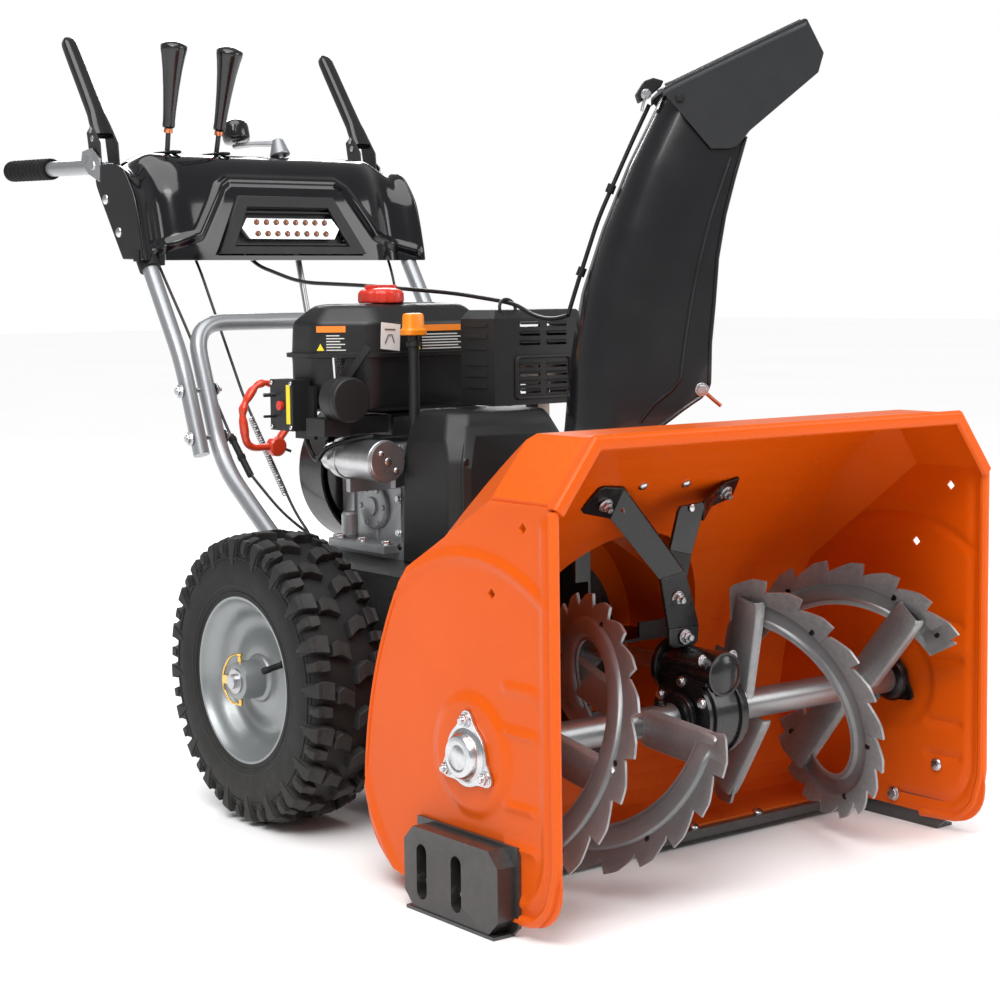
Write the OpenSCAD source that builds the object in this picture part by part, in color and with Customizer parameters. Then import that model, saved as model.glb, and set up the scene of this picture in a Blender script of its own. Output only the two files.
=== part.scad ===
// Two-stage walk-behind snow blower.
// Millimetres, +Z up, the auger faces -Y, the operator stands at +Y and looks along -Y.
// The operator's right-hand side is -X.  Inside at_axle() every y is measured from the wheel axle.

/* [Snow intake] */
// Outer width across the auger housing
intake_w = 730; // [720:2:740]
// Height of the auger housing's top lip above the ground
intake_h = 572; // [568:1:576]
// Auger diameter over its teeth
auger_d = 344; // [336:2:346]
// Impeller diameter
impeller_d = 304; // [290:2:306]
// Thickness of the housing's sheet steel
sheet_t = 3; // [2.5:0.5:3.5]

/* [Wheels] */
// Tyre outer diameter
tyre_d = 406; // [400:1:410]
// Tyre section width
tyre_w = 122; // [116:1:124]
// Distance between the middles of the two tyres
track_w = 584; // [580:1:600]
// Axle diameter
axle_d = 20; // [18:1:22]

/* [Handles] */
// Outer diameter of the handle tubes
tube_d = 26; // [24:1:27]
// Distance between the middles of the two upper handle tubes
handle_w = 492; // [488:1:500]
// Height of the hand grips
grip_z = 934; // [925:1:945]
// How far the released clutch levers stand up from the grips
lever_lift = 54; // [44:1:56]

/* [Chute] */
// Direction of the chute at rest, from straight ahead towards +X
chute_turn = 54; // [0:1:54]
// Half width of the chute at its base
chute_r = 86; // [84:1:87]

/* [Engine] */
// Height of the crankshaft
crank_z = 465; // [460:1:470]
// Length of the fuel tank across the machine
tank_w = 270; // [250:2:280]

/* [Hidden] */

$fn = 48;
fit = 0.05;                          // radial running clearance of every shaft
gap = 0.5;                           // clearance between parts that pass each other
axle_y = -90;                        // the wheel axle lies behind the middle of the length
axle_z = tyre_d / 2;
half_w = intake_w / 2;

auger_y = -548;                      // auger axis
auger_z = 198;
auger_r = auger_d / 2;
worm_drop = 55;                      // impeller axis above the auger axis
drum_z = auger_z + worm_drop;
drum_r = 168;
drum_back = -222;
chute_x = 60;                        // axis on which the chute turns
chute_y = -335;
ring_z = 446;
ring_module = 5.2;
pinion_angle = 31.5;                 // the chute's drive pinion stands behind and to the left
pinion_reach = 24 * ring_module;

wall_r = 539;                        // big sweep of the housing's back wall
wall_c = [-867, 103];
heel_r = 90;
heel_c = [-418, 112];
lip_y = -700;
front_y = -708;
bevel_w = 57;
bevel_h = 74;

frame_w = 200;                       // half width between the tractor frame's side plates
frame_top = 350;
hex_y = 59.92;                       // hex shaft axis, in mesh with the axle gear
hex_z = axle_z + 75;
mesh_tilt = atan2(hex_y, 75);         // lean of the line between the two gears
disc_z = hex_z;                      // friction disc axis
disc_face = -2;
wheel_r = 61;                        // friction wheel
frame_bolts = [[20, 306.7], [66, 337.5]];
lap_bolts = [[283.5, 517], [310, 587]];  // through the overlapped handle tubes
axle_teeth = 36;
pinion_teeth = 12;
gear_module = 4;
worm_teeth = 16;
worm_lead = 14.92;

belt_auger_y = -140;                 // planes of the two belts
belt_drive_y = -75;

lever_pivot = [246, 556, grip_z];
hood_pivot = [58, 1000];             // chute deflector hinge: reach along the chute, height
skid_w = 30;
skid_bolts = [-485, -553];           // y of the two bolts of each skid shoe
skid_bolt_z = 36;
shift_levers = [[-159, 11], [-70, 18]]; // x and forward bend of the speed and deflector levers
flange_lobes = [60, 180, 300];

/* ---- helpers ---- */
module at_axle() translate([0, axle_y, 0]) children();
module both() { children(); mirror([1, 0, 0]) children(); }
module along_x(p, r, l) translate(p) rotate([0, 90, 0]) cylinder(r = r, h = l);
module along_y(p, r, l) translate(p) rotate([-90, 0, 0]) cylinder(r = r, h = l);
module box(a, b) translate(a) cube(b - a);
module hex_head(d, h) cylinder(d = d, h = h, $fn = 6);

function unit(v) = v / norm(v);
function arc(c, r, a, b, n) = [for (i = [0:n]) c + r * [cos(a + (b - a) * i / n), sin(a + (b - a) * i / n)]];
// a quarter-like bend of quadratic curves at each inner point of a route, reaching d along each side
function corner(p, q, r, d, n) = let (a = q + unit(p - q) * min(d, norm(p - q) / 2.05),
    b = q + unit(r - q) * min(d, norm(r - q) / 2.05))
    [for (i = [0:n]) let (t = i / n) a * (1 - t) * (1 - t) + q * 2 * t * (1 - t) + b * t * t];
function bend(p, d, n = 6) = [p[0], for (i = [1:len(p) - 2]) each corner(p[i - 1], p[i], p[i + 1], d, n),
    p[len(p) - 1]];
function heading(p, i) = unit(p[min(i + 1, len(p) - 1)] - p[max(i - 1, 0)]);
function ring(p, i, r, n, side) = let (t = heading(p, i), u = unit(cross(side, t)), v = cross(t, u))
    [for (k = [0:n - 1]) p[i] + r * cos(360 * k / n) * u + r * sin(360 * k / n) * v];

// closed skin over rings of n points each
module skin(rings) {
    n = len(rings[0]);
    m = len(rings);
    polyhedron(points = [for (q = rings) each q], convexity = 6, faces = concat(
        [[for (k = [0:n - 1]) k]], [[for (k = [n - 1:-1:0]) (m - 1) * n + k]],
        [for (i = [0:m - 2], k = [0:n - 1]) [i * n + (k + 1) % n, i * n + k, (i + 1) * n + k]],
        [for (i = [0:m - 2], k = [0:n - 1])
            [i * n + (k + 1) % n, (i + 1) * n + k, (i + 1) * n + (k + 1) % n]]));
}
// round rod swept along a route; side is any direction that the route never takes
module rod(p, r, n = 8, side = [1, 0, 0]) skin([for (i = [0:len(p) - 1]) ring(p, i, r, n, side)]);
// open-ended tube swept along a route
module pipe(p, r, wall, n, side) {
    m = len(p);
    pts = concat([for (i = [0:m - 1]) each ring(p, i, r, n, side)],
        [for (i = [0:m - 1]) each ring(p, i, r - wall, n, side)]);
    s = m * n;
    polyhedron(points = pts, convexity = 8, faces = concat(
        [for (i = [0:m - 2], k = [0:n - 1]) [i * n + (k + 1) % n, i * n + k, (i + 1) * n + k]],
        [for (i = [0:m - 2], k = [0:n - 1])
            [i * n + (k + 1) % n, (i + 1) * n + k, (i + 1) * n + (k + 1) % n]],
        [for (i = [0:m - 2], k = [0:n - 1]) [s + i * n + k, s + i * n + (k + 1) % n, s + (i + 1) * n + k]],
        [for (i = [0:m - 2], k = [0:n - 1])
            [s + (i + 1) * n + k, s + i * n + (k + 1) % n, s + (i + 1) * n + (k + 1) % n]],
        [for (k = [0:n - 1]) [k, (k + 1) % n, s + k]],
        [for (k = [0:n - 1]) [(k + 1) % n, s + (k + 1) % n, s + k]],
        [for (k = [0:n - 1]) [(m - 1) * n + (k + 1) % n, (m - 1) * n + k, s + (m - 1) * n + k]],
        [for (k = [0:n - 1])
            [s + (m - 1) * n + (k + 1) % n, (m - 1) * n + (k + 1) % n, s + (m - 1) * n + k]]));
}
// outline of a spur gear with straight-sided teeth and backlash; a tooth points along +x
module gear_outline(teeth, m) {
    tip = m * (teeth + 1.7) / 2;
    root = m * (teeth - 2.4) / 2;
    a = 360 / teeth;
    polygon([for (i = [0:teeth - 1]) each [
        root * [cos(a * (i - 0.3)), sin(a * (i - 0.3))], tip * [cos(a * (i - 0.1)), sin(a * (i - 0.1))],
        tip * [cos(a * (i + 0.1)), sin(a * (i + 0.1))], root * [cos(a * (i + 0.3)), sin(a * (i + 0.3))]]]);
}
// profile in the y-z plane, extruded across x between a and b
module across(a, b) translate([a, 0, 0]) rotate([90, 0, 90]) linear_extrude(b - a) children();
// one V belt around two pulleys on the same upright line
module belt_loop(y, r1, z1, r2, z2) translate([0, y + 5, 0]) rotate([90, 0, 0]) linear_extrude(10)
    difference() {
        hull() { translate([0, z1]) circle(r1 + 7, $fn = 40); translate([0, z2]) circle(r2 + 7, $fn = 40); }
        hull() { translate([0, z1]) circle(r1, $fn = 40); translate([0, z2]) circle(r2, $fn = 40); }
    }
// grooved pulley on a y axis; the belt sits on radius r
module pulley(y, r, w = 18) difference() {
    along_y([0, y - w / 2, 0], r + 9, w);
    translate([0, y, 0]) rotate([-90, 0, 0]) difference() {
        cylinder(r = r + 20, h = 11.4, center = true);
        cylinder(r = r - gap, h = 12, center = true);
    }
}

/* ---- auger housing ---- */
function wall_points(t) = concat(
    [[lip_y, intake_h - t]],
    arc(wall_c, wall_r - t, 60.5, 2, 14),
    arc(heel_c, heel_r - t, 0, -88, 6),
    [[-470, heel_c[1] - heel_r + t]]);
// outline of the space inside the wall, closed at the front
module wall_outline(t) polygon(concat(wall_points(t), [[-760, heel_c[1] - heel_r + t], [-760, intake_h - t]]));
// the two slanted corner cuts of one side, moved inwards by t
module bevel_cut(t) {
    shift = [-t * bevel_h / norm([bevel_w, bevel_h]), -t * bevel_w / norm([bevel_w, bevel_h])];
    translate([0, -586, 0]) rotate([90, 0, 0]) linear_extrude(300) translate(shift)
        polygon([[half_w + 60, intake_h - bevel_h - 78], [half_w + 60, intake_h + 78],
            [half_w - bevel_w - 60, intake_h + 78]]);
    translate([0, -586, intake_h - bevel_h]) rotate([-37, 0, 0]) translate([0, -60, 0]) rotate([-90, 0, 0])
        linear_extrude(420) mirror([0, 1]) translate(shift)
        polygon([[half_w + 60, -60], [half_w + 60, 120], [half_w - 120, 120]]);
}
module housing_body(t) difference() {
    across(-half_w + t, half_w - t) wall_outline(t);
    both() bevel_cut(t);
}
module auger_housing() color("OrangeRed") at_axle() difference() {
    intersection() {
        difference() {
            housing_body(0);
            housing_body(sheet_t);
        }
        box([-half_w + sheet_t, lip_y, 0], [half_w - sheet_t, 0, 600]);
    }
    box([-half_w, -760, 0], [half_w, -470, 200]);
    along_y([0, -470, drum_z], drum_r - sheet_t, 300);
}
module side_plate(s) color("OrangeRed") at_axle() mirror([s < 0 ? 1 : 0, 0, 0]) difference() {
    union() {
        intersection() {
            across(half_w - sheet_t, half_w) difference() {
                polygon(concat([[-697, intake_h - bevel_h], [-586, intake_h - bevel_h]],
                    arc(wall_c, wall_r, 34, 2, 10), arc(heel_c, heel_r, 0, -88, 6),
                    arc([-660, 67], 48, 270, 180, 6)));
                for (p = [[-645, 471], [-587, 391]]) translate(p) circle(7, $fn = 4);
            }
            difference() {
                box([half_w - 10, -760, 0], [half_w + 10, 0, 600]);
                bevel_cut(0);
            }
        }
        // folded front lip
        box([half_w - 3, front_y, 67], [half_w + 6, front_y + 8, intake_h - bevel_h - 4]);
    }
    along_x([half_w - 20, auger_y, auger_z], 22, 40);
    for (y = skid_bolts) along_x([half_w - 20, y, skid_bolt_z], 5, 40);
    for (a = flange_lobes) along_x([half_w - 20, auger_y + 40 * sin(a), auger_z - 40 * cos(a)], 4.2, 40);
}
module side_plate_left() side_plate(1);
module side_plate_right() side_plate(-1);

// impeller drum behind the wall, with the chute's neck on top
module drum(t) {
    along_y([0, -480, drum_z], drum_r - t, drum_back + 480 - t);
    translate([chute_x, chute_y, drum_z]) cylinder(r = chute_r + 2 - t, h = ring_z - drum_z - 6 + t);
}
module impeller_housing() color("OrangeRed") at_axle() difference() {
    union() {
        drum(0);
        translate([chute_x, chute_y, ring_z - 10]) cylinder(r = 104, h = 4);
        // carrier of the chute's drive pinion
        translate([chute_x, chute_y, ring_z - 16]) rotate(pinion_angle) box([80, -14, 0], [140, 14, 6]);
    }
    translate([chute_x, chute_y, ring_z - 30]) rotate(pinion_angle) translate([pinion_reach, 0, 0])
        cylinder(r = 6 + fit, h = 30);
    drum(sheet_t);
    across(-half_w, half_w) wall_outline(0);
    translate([chute_x, chute_y, drum_z]) cylinder(r = chute_r - 1, h = 300);
    along_y([0, drum_back - 20, drum_z], 12 + fit, 60);
}
module scraper_bar() color("DimGray") at_axle() difference() {
    box([-half_w + 8, -482, 10], [half_w - 8, -422, heel_c[1] - heel_r]);
    for (x = [-300:120:300]) translate([x, -455, 0]) cylinder(r = 5.2, h = 60);
}
module bearing_flanges() color("Silver") at_axle() both() {
    translate([half_w, auger_y, auger_z]) rotate([0, 90, 0]) difference() {
        union() {
            linear_extrude(5) union() {
                circle(38);
                for (a = flange_lobes) rotate(a) hull() {
                    circle(20, $fn = 32);
                    translate([40, 0]) circle(11, $fn = 32);
                }
            }
            cylinder(r = 27, h = 16);
            translate([0, 0, -12]) cylinder(r = 21, h = 12.5);
        }
        translate([0, 0, -13]) cylinder(r = 12.5 + fit, h = 22);
        for (a = flange_lobes) rotate(a) translate([40, 0, -1]) cylinder(r = 4.2, h = 8);
    }
}
// flat bar between corner points, t thick
module plate(corners, t = 5) hull() for (p = corners) translate(p) cube(t, center = true);
module brace_straps() color("Black") at_axle() {
    difference() {
        union() {
            // strap and foot on the -X side, in front
            plate([[-84, -470, 447], [-85, -498, 488], [-38, -512, 369], [5, -512, 375]]);
            plate([[-132, -469, 462], [-123, -498, 492], [-84, -470, 447], [-85, -498, 488]]);
            plate([[-38, -512, 369], [5, -512, 375], [-34, -525.5, 306], [14, -525.5, 306]]);
            // strap and foot on the +X side, behind
            plate([[0, -504, 456], [46, -504, 461], [-15, -504, 403], [23, -504, 394]]);
            plate([[-15, -504, 403], [23, -504, 394], [-10, -507, 366], [10, -507, 366]]);
            plate([[46, -504, 436], [46, -504, 461], [90, -471, 450], [92, -492, 480]]);
            plate([[90, -471, 450], [97, -498, 490], [124, -471, 458], [116, -498, 490]]);
        }
        across(-half_w, half_w) difference() {
            square([1400, 1400], center = true);
            wall_outline(sheet_t + 0.2);
        }
    }
    box([-36, -528, 283], [16, -522.2, 306]);
}
module gearbox_case() color("Black") at_axle() difference() {
    union() {
        along_x([-34, auger_y, auger_z], 52, 68);
        along_x([-48, auger_y, auger_z], 27, 96);
        along_y([0, -592, drum_z], 28, 104);
        box([-24, -584, auger_z], [24, -512, drum_z + 14]);
        box([-12, -521.8, drum_z + 10], [12, -510, drum_z + 50]);
    }
    along_x([-29, auger_y, auger_z], 46, 58);
    along_y([0, -586, drum_z], 21, 92);
    along_x([-60, auger_y, auger_z], 12.5 + fit, 120);
    along_y([0, -520, drum_z], 12 + fit, 60);
}

/* ---- tractor ---- */
module tractor_frame() color("DarkSlateGray") at_axle() difference() {
    union() {
        both() difference() {
            box([frame_w - 4, -216, 118], [frame_w, 190, frame_top]);
            along_x([frame_w - 10, 0, axle_z], axle_d / 2 + fit, 20);
            along_x([frame_w - 10, hex_y, hex_z], 8 + fit, 20);
            for (p = frame_bolts) along_x([frame_w - 10, p[0], p[1]], 4.1, 20);
        }
        box([-frame_w, -220, 90], [frame_w, -216, frame_top]);
        box([-frame_w + 4, 186, 118], [frame_w - 4, 190, frame_top]);
        difference() {
            box([4 - frame_w, -218, frame_top - 4], [frame_w - 4, 188, frame_top]);
            box([-40, 20, frame_top - 10], [40, 120, frame_top + 10]);
            box([-102, -172, frame_top - 10], [102, -38, frame_top + 10]);
            for (x = [-178, 184]) translate([x, 64, frame_top - 10]) cylinder(r = 8, h = 20);
            translate([-122, 164, frame_top - 10]) cylinder(r = 8, h = 20);
        }
        // carrier for the friction disc
        box([-60, -52, disc_z - 26], [60, -46, frame_top - 4]);
        both() box([60, -52, disc_z + 40], [frame_w - 4, -46, disc_z + 58]);
        along_y([0, -60, disc_z], 24, 22);
        // idler pivots
        along_y([-150, -218, 200], 8, 68);
        box([136, -52, 236], [frame_w - 3, -46, 264]);
        along_y([150, -96, 250], 8, 48);
    }
    along_y([0, -240, drum_z], 14, 40);
    along_y([0, -80, disc_z], 10 + fit, 60);
}
module belt_cover() color("DimGray") at_axle() difference() {
    hull() {
        box([-110, -150, frame_top], [110, -36, 520]);
        box([-96, -178, frame_top], [96, -36, 500]);
        box([-92, -160, frame_top], [92, -36, 565]);
    }
    hull() {
        box([-106, -147, 340], [106, -20, 519]);
        box([-92, -174, 340], [92, -20, 499]);
        box([-88, -157, 340], [88, -20, 561]);
    }
}
module engine_block() color("LightGray") at_axle() difference() {
    union() {
        box([-96, -34, frame_top], [96, 150, frame_top + 22]);
        box([-78, -12, 370], [78, 148, crank_z + 48]);
        // cylinder barrel and its fins, lying over towards +X
        translate([40, 66, crank_z]) rotate([0, 62, 0]) {
            cylinder(r = 46, h = 150);
            for (i = [0:5]) translate([-62, -58, 60 + 14 * i]) cube([124, 116, 4]);
            translate([-52, -50, 138]) cube([104, 100, 22]);
        }
        // starter bracket
        box([-150, 20, 448], [-70, 30, 466.8]);
    }
    along_y([0, -60, crank_z], 16 + fit, 300);
    // crank chamber
    along_y([0, 10, crank_z], 40, 110);
}
module blower_housing() color("DimGray") at_axle() difference() {
    union() {
        along_y([0, 152, crank_z], 114, 60);
        along_y([0, 210, crank_z], 84, 26);
        box([-70, 30, crank_z + 60], [150, 200, 556]);
    }
    along_y([0, 140, crank_z], 110, 69);
    along_y([0, 200, crank_z], 80, 32.5);
    box([-66, 20, crank_z + 40], [146, 196, 552]);
    translate([40, 66, crank_z]) rotate([0, 62, 0]) translate([-64, -62, 40]) cube([128, 124, 130]);
    for (a = [0:30:330]) along_y([60 * cos(a), 220, crank_z + 60 * sin(a)], 7, 30);
}
module at_throttle() translate([-147, 33, 606]) rotate(-41.3) children();
module fuel_tank() color("DimGray") at_axle() difference() {
    union() {
        at_throttle() along_y([0, -12, 0], 4, 14);
        translate([-180, 0, 0]) hull() {
            box([0, 62, 562], [tank_w, 132, 700]);
            box([66, 4, 562], [tank_w, 132, 700]);
            box([18, 74, 560], [tank_w - 18, 118, 716]);
            box([76, 20, 560], [tank_w - 18, 118, 716]);
        }
        translate([-186, 0, 641]) linear_extrude(5)
            polygon([[0, 60], [68, -2], [tank_w + 12, -2], [tank_w + 12, 138], [0, 138]]);
    }
    translate([-180, 0, 0]) hull() {
        box([4, 66, 566], [tank_w - 4, 128, 698]);
        box([68, 8, 566], [tank_w - 4, 128, 698]);
        box([80, 24, 566], [tank_w - 22, 114, 712]);
    }
    translate([-60, 66, 700]) cylinder(r = 24, h = 40);
}
module starter_motor() color("Silver") at_axle() {
    along_y([-139.5, -57, 496], 29, 108);
    along_y([-139.5, 51, 496], 20, 30);
    along_y([-139.5, -61, 496], 28, 4);
}
module switch_box() color("Black") at_axle() difference() {
    union() {
        box([-214, 68, 536], [-184, 128, 609]);
        box([-190, 50, 524], [-184, 100, 600]);
        for (z = [556, 586]) along_x([-232, 116, z], 2, 20);
    }
    along_x([-220, 98, 572], 7, 16);
}
module intake_cap() color("Black") at_axle() {
    along_y([-192, -10, 583], 32, 42);
    box([-206, 0, 530], [-160, 49, 557]);
    box([-162, 20, 530], [-79, 56, 557]);
}
module muffler() color("DarkGray") at_axle() {
    along_x([0, -95, 640], 42, 136);
    box([112, -84, 530], [134, -56, 612]);
    box([112, -84, 530], [134, 6, 552]);
}
module muffler_guard() color("DimGray") at_axle() difference() {
    hull() {
        box([-17, -148, 572], [150, -70, 694]);
        box([-7, -138, 572], [140, -76, 706]);
    }
    hull() {
        box([-13, -144, 560], [146, -60, 692]);
        box([-5, -134, 560], [138, -60, 702]);
    }
    for (x = [29, 78], z = [588, 600, 612, 624, 656, 669, 682])
        box([x, -160, z], [x + 36, -130, z + 7]);
}
module dipstick_tube() color("Black") at_axle() difference() {
    translate([-67, -24, frame_top + 22]) cylinder(r = 8, h = 298);
    translate([-67, -24, frame_top + 30]) cylinder(r = 6, h = 340);
}
module belts() color("Black") at_axle() {
    belt_loop(belt_auger_y, 40, crank_z, 92, drum_z);
    belt_loop(belt_drive_y, 28, crank_z, 60, disc_z);
}

/* ---- handles and console ---- */
lower_route = bend([[-214, 10, 300], [-214, 158, 399], [-214, 268, 476], [-214, 348, 688], [214, 348, 688],
    [214, 268, 476], [214, 158, 399], [214, 10, 300]], 55, 5);
module lap_holes(list) both() for (p = list) along_x([180, p[0], p[1]], 4.1, 100);
module handle_lower() color("Silver") at_axle() difference() {
    pipe(lower_route, tube_d / 2, 2, 12, [0, -0.9, 0.43]);
    lap_holes(lap_bolts);
    lap_holes(frame_bolts);
}
function upper_route(s) = bend([[s * handle_w / 2, 274, 492], [s * handle_w / 2, 326, 630],
    [s * handle_w / 2, 470, 850], [s * handle_w / 2, 552, grip_z], [s * handle_w / 2, 895, grip_z + 8]], 40, 5);
module handle_upper() color("Silver") at_axle() difference() {
    for (s = [-1, 1]) pipe(upper_route(s), tube_d / 2 - 0.6, 2, 12, [1, 0, 0]);
    lap_holes(lap_bolts);
    both() along_x([lever_pivot[0] - 20, lever_pivot[1], lever_pivot[2]], 4.1, 40);
}
module grips() color("Black") at_axle() both() difference() {
    along_y([handle_w / 2, 748, grip_z + 6], 17, 152);
    along_y([handle_w / 2, 740, grip_z + 6], 14.9, 156);
}
function console_outline(t) = [[412 + t, 786 + t], [430 + t, 872], [462 + t, 936 - t], [486 + t, 954 - t],
    [545 - t, 950 - t], [552 - t, 926], [540 - t, 893], [474 - t, 782 + t]];
module console_shell() color("Black") at_axle() difference() {
    union() {
        difference() {
            across(-270, 270) polygon(console_outline(0));
            across(-266, 266) polygon(console_outline(3.5));
        }
        // pivot rod of the two shift levers
        along_x([-183, 515, 880], 4, 147);
        for (x = [-183, -40]) box([x, 505, 872], [x + 4, 527, 951]);
    }
    across(-260, 260) polygon([[428, 770], [460, 770], [460, 800], [428, 800]]);
    // slots for the speed lever, the deflector lever and the crank
    for (v = shift_levers) box([v[0] - 6, 478, 930], [v[0] + 6, 548, 970]);
    translate([48, 508, 930]) cylinder(r = 15, h = 50);
    // window behind the lamp bezel
    translate([8, 0, 0]) rotate([90, 0, 0]) translate([0, 0, -450]) linear_extrude(50)
        polygon([[-141, 791], [-91, 889], [91, 889], [141, 791]]);
    // notches for the clutch levers and the handle tubes
    both() box([handle_w / 2 - 19, 508, 896], [handle_w / 2 + 19, 580, 970]);
    both() translate([handle_w / 2, 427, 784]) rotate([-33.2, 0, 0]) cylinder(r = 15, h = 50, center = true);
    translate([48, 452, 790]) cylinder(r = 14, h = 60, center = true);
}
module console_bezel() color("Black") at_axle() difference() {
    translate([8, 0, 0]) rotate([90, 0, 0]) translate([0, 0, -436]) linear_extrude(20)
        polygon([[-140, 792], [-90, 888], [90, 888], [140, 792]]);
    translate([8, 400, 834]) cube([190, 60, 40], center = true);
    across(-300, 300) polygon([[0, 700], [408, 780], [426, 876], [440, 900], [0, 900]]);
}
module led_lamp() color("White") at_axle() translate([8, 422, 834]) rotate([90, 0, 0]) linear_extrude(14)
    polygon([[-94, 0], [-82, 19], [82, 19], [94, 0], [82, -19], [-82, -19]]);

/* ---- cables held along their whole way ---- */
cable_auger = bend([[-220, 530, 900], [-220, 442, 780], [-206, 372, 668], [-190, 318, 560],
    [-188, 252, 475], [-184, 150, 410], [-178, 64, 376], [-178, 64, 320], [-150, -90, 300]], 40, 4);
cable_drive = bend([[220, 530, 900], [220, 442, 780], [196, 372, 660], [190, 318, 560], [188, 240, 470],
    [184, 150, 410], [184, 64, 376], [184, 64, 330], [150, -20, 320]], 40, 4);
cable_speed = bend([[-158, 505, 860], [-148, 444, 780], [-130, 340, 567], [-126, 205, 400],
    [-122, 164, 366], [-122, 164, 310]], 30, 4);
cable_hood = bend([[-72, 500, 860], [-52, 442, 780], [-40, 316, 748], [-20, 160, 742], [10, -20, 730],
    [14, -150, 716], [16, -176, 706]], 40, 4);
cable_crank = bend([[48, 416.6, 639.2], [48, 405, 600], [64, 330, 500], [150, 290, 420], [168, 230, 384],
    [170, 100, 374], [178, -60, 380], [178, -180, 376], [167, -262, 362], [166.4, -269.8, 419]], 40, 4);
starter_lead = bend([[-136, -20, 530], [-154, 0, 527], [-178, 40, 512], [-176, 66, 490], [-176, 84, 506],
    [-178, 96, 534]], 14, 4);
module control_cables() color("Black") at_axle() {
    rod(cable_auger, 3);
    rod(cable_drive, 3);
    rod(cable_speed, 3);
    rod(cable_hood, 3);
    rod(cable_crank, 5, 10, [0.9, -0.3, 0.3]);
    rod(starter_lead, 3.5, 8, [0.9, 0.4, 0]);
}
// bolt along x with a hexagon of height h at each end
module bolt_x(p, l, h) {
    along_x(p, 3.9, l);
    translate(p + [l, 0, 0]) rotate([0, 90, 0]) hex_head(13, h);
    translate(p - [h, 0, 0]) rotate([0, 90, 0]) hex_head(13, h);
}
module fasteners() color("Silver") at_axle() {
    // skid shoe bolts
    both() for (y = skid_bolts) {
        along_x([half_w - 8, y, skid_bolt_z], 4.8, 16);
        translate([half_w - 9, y, skid_bolt_z]) rotate([0, 90, 0]) hex_head(15, 5.5);
        translate([half_w + 6.4, y, skid_bolt_z]) rotate([0, 90, 0]) hex_head(15, 7);
    }
    // bearing flange bolts
    both() for (a = flange_lobes) translate([half_w, auger_y, auger_z]) rotate([0, 90, 0]) rotate(a)
        translate([40, 0, -8]) { cylinder(r = 3.9, h = 18); translate([0, 0, 13.2]) hex_head(13, 6); }
    // handle bolts
    both() for (p = lap_bolts) bolt_x([200, p[0], p[1]], 60, 6);
    both() for (p = frame_bolts) bolt_x([195.4, p[0], p[1]], 32.4, 3);
    both() along_x([lever_pivot[0] - 20, lever_pivot[1], lever_pivot[2]], 4, 40);
}

/* ---- wheels ---- */
module axle() color("Gray") at_axle() {
    difference() {
        along_x([-366, 0, axle_z], axle_d / 2, 732);
        for (s = [-1, 1]) translate([s * 350, 0, axle_z - 30]) cylinder(r = 3.1, h = 60);
    }
    translate([70, 0, axle_z]) rotate([0, 90, 0]) linear_extrude(12) difference() {
        rotate(180 - mesh_tilt) gear_outline(axle_teeth, gear_module);
        circle(axle_d / 2 - 1);
    }
}
module tyre() translate([track_w / 2, 0, axle_z]) rotate([0, 90, 0]) rotate_extrude($fn = 72) difference() {
    polygon(concat([[112, -tyre_w / 2 + 10]], arc([tyre_d / 2 - 34, -tyre_w / 2 + 34], 34, -90, 0, 6),
        arc([tyre_d / 2 - 34, tyre_w / 2 - 34], 34, 0, 90, 6), [[112, tyre_w / 2 - 10]]));
    polygon(concat([[111, -tyre_w / 2 + 20]], arc([tyre_d / 2 - 42, -tyre_w / 2 + 42], 30, -90, 0, 4),
        arc([tyre_d / 2 - 42, tyre_w / 2 - 42], 30, 0, 90, 4), [[111, tyre_w / 2 - 20]]));
}
module tyres() color("Black") at_axle() both() tyre();
module rims() color("Silver") at_axle() both() difference() {
    translate([track_w / 2, 0, axle_z]) rotate([0, 90, 0]) union() {
        rotate_extrude($fn = 72) polygon([[108, -52], [111.8, -52], [111.8, 52], [108, 52], [108, 34], [82, 18],
            [40, 30], [24, 30], [24, 26], [40, 26], [82, 14], [108, 29]]);
        translate([0, 0, -30]) cylinder(r = 26, h = 95);
    }
    along_x([100, 0, axle_z], axle_d / 2 + fit, 400);
    translate([350, 0, axle_z - 60]) cylinder(r = 3.1, h = 120);
    along_x([track_w / 2, 0, axle_z + 72], 6, 60);
}
module hub_pins() color("Goldenrod") at_axle() both() {
    translate([350, 0, axle_z - 36]) cylinder(r = 3, h = 72);
    translate([350, 0, axle_z + 28]) cylinder(r = 7, h = 6);
}

/* ---- transmission ---- */
module hex_shaft() color("Silver") at_axle() {
    translate([-frame_w + 4 + gap, hex_y, hex_z]) rotate([0, 90, 0]) cylinder(r = 9, h = 2 * frame_w - 9, $fn = 6);
    along_x([-frame_w - 6, hex_y, hex_z], 8 - fit, 2 * frame_w + 12);
    translate([70, hex_y, hex_z]) rotate([0, 90, 0]) linear_extrude(12) difference() {
        rotate(-mesh_tilt - 180 / pinion_teeth) gear_outline(pinion_teeth, gear_module);
        circle(5);
    }
}
module friction_wheel() color("DimGray") at_axle() translate([0, hex_y, hex_z]) rotate([0, 90, 0])
    difference() {
        union() {
            cylinder(r = wheel_r, h = 12, center = true);
            cylinder(r = 22, h = 34, center = true);
        }
        cylinder(r = 9.4, h = 60, center = true, $fn = 6);
    }
module crankshaft() color("Gray") at_axle() {
    translate([0, 0, crank_z]) {
        along_y([0, -152, 0], 12, 170);
        along_y([0, 0, 0], 16, 150);
        pulley(belt_auger_y, 40);
        pulley(belt_drive_y, 28);
        along_y([0, 148.5, 0], 20, 12);
        along_y([0, 158, 0], 98, 36);
    }
}
module friction_disc() color("Silver") at_axle() translate([0, 0, disc_z]) {
    along_y([0, disc_face - 8, 0], 64, 8);
    along_y([0, -90, 0], 10, 84);
    pulley(belt_drive_y, 60);
}

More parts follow.
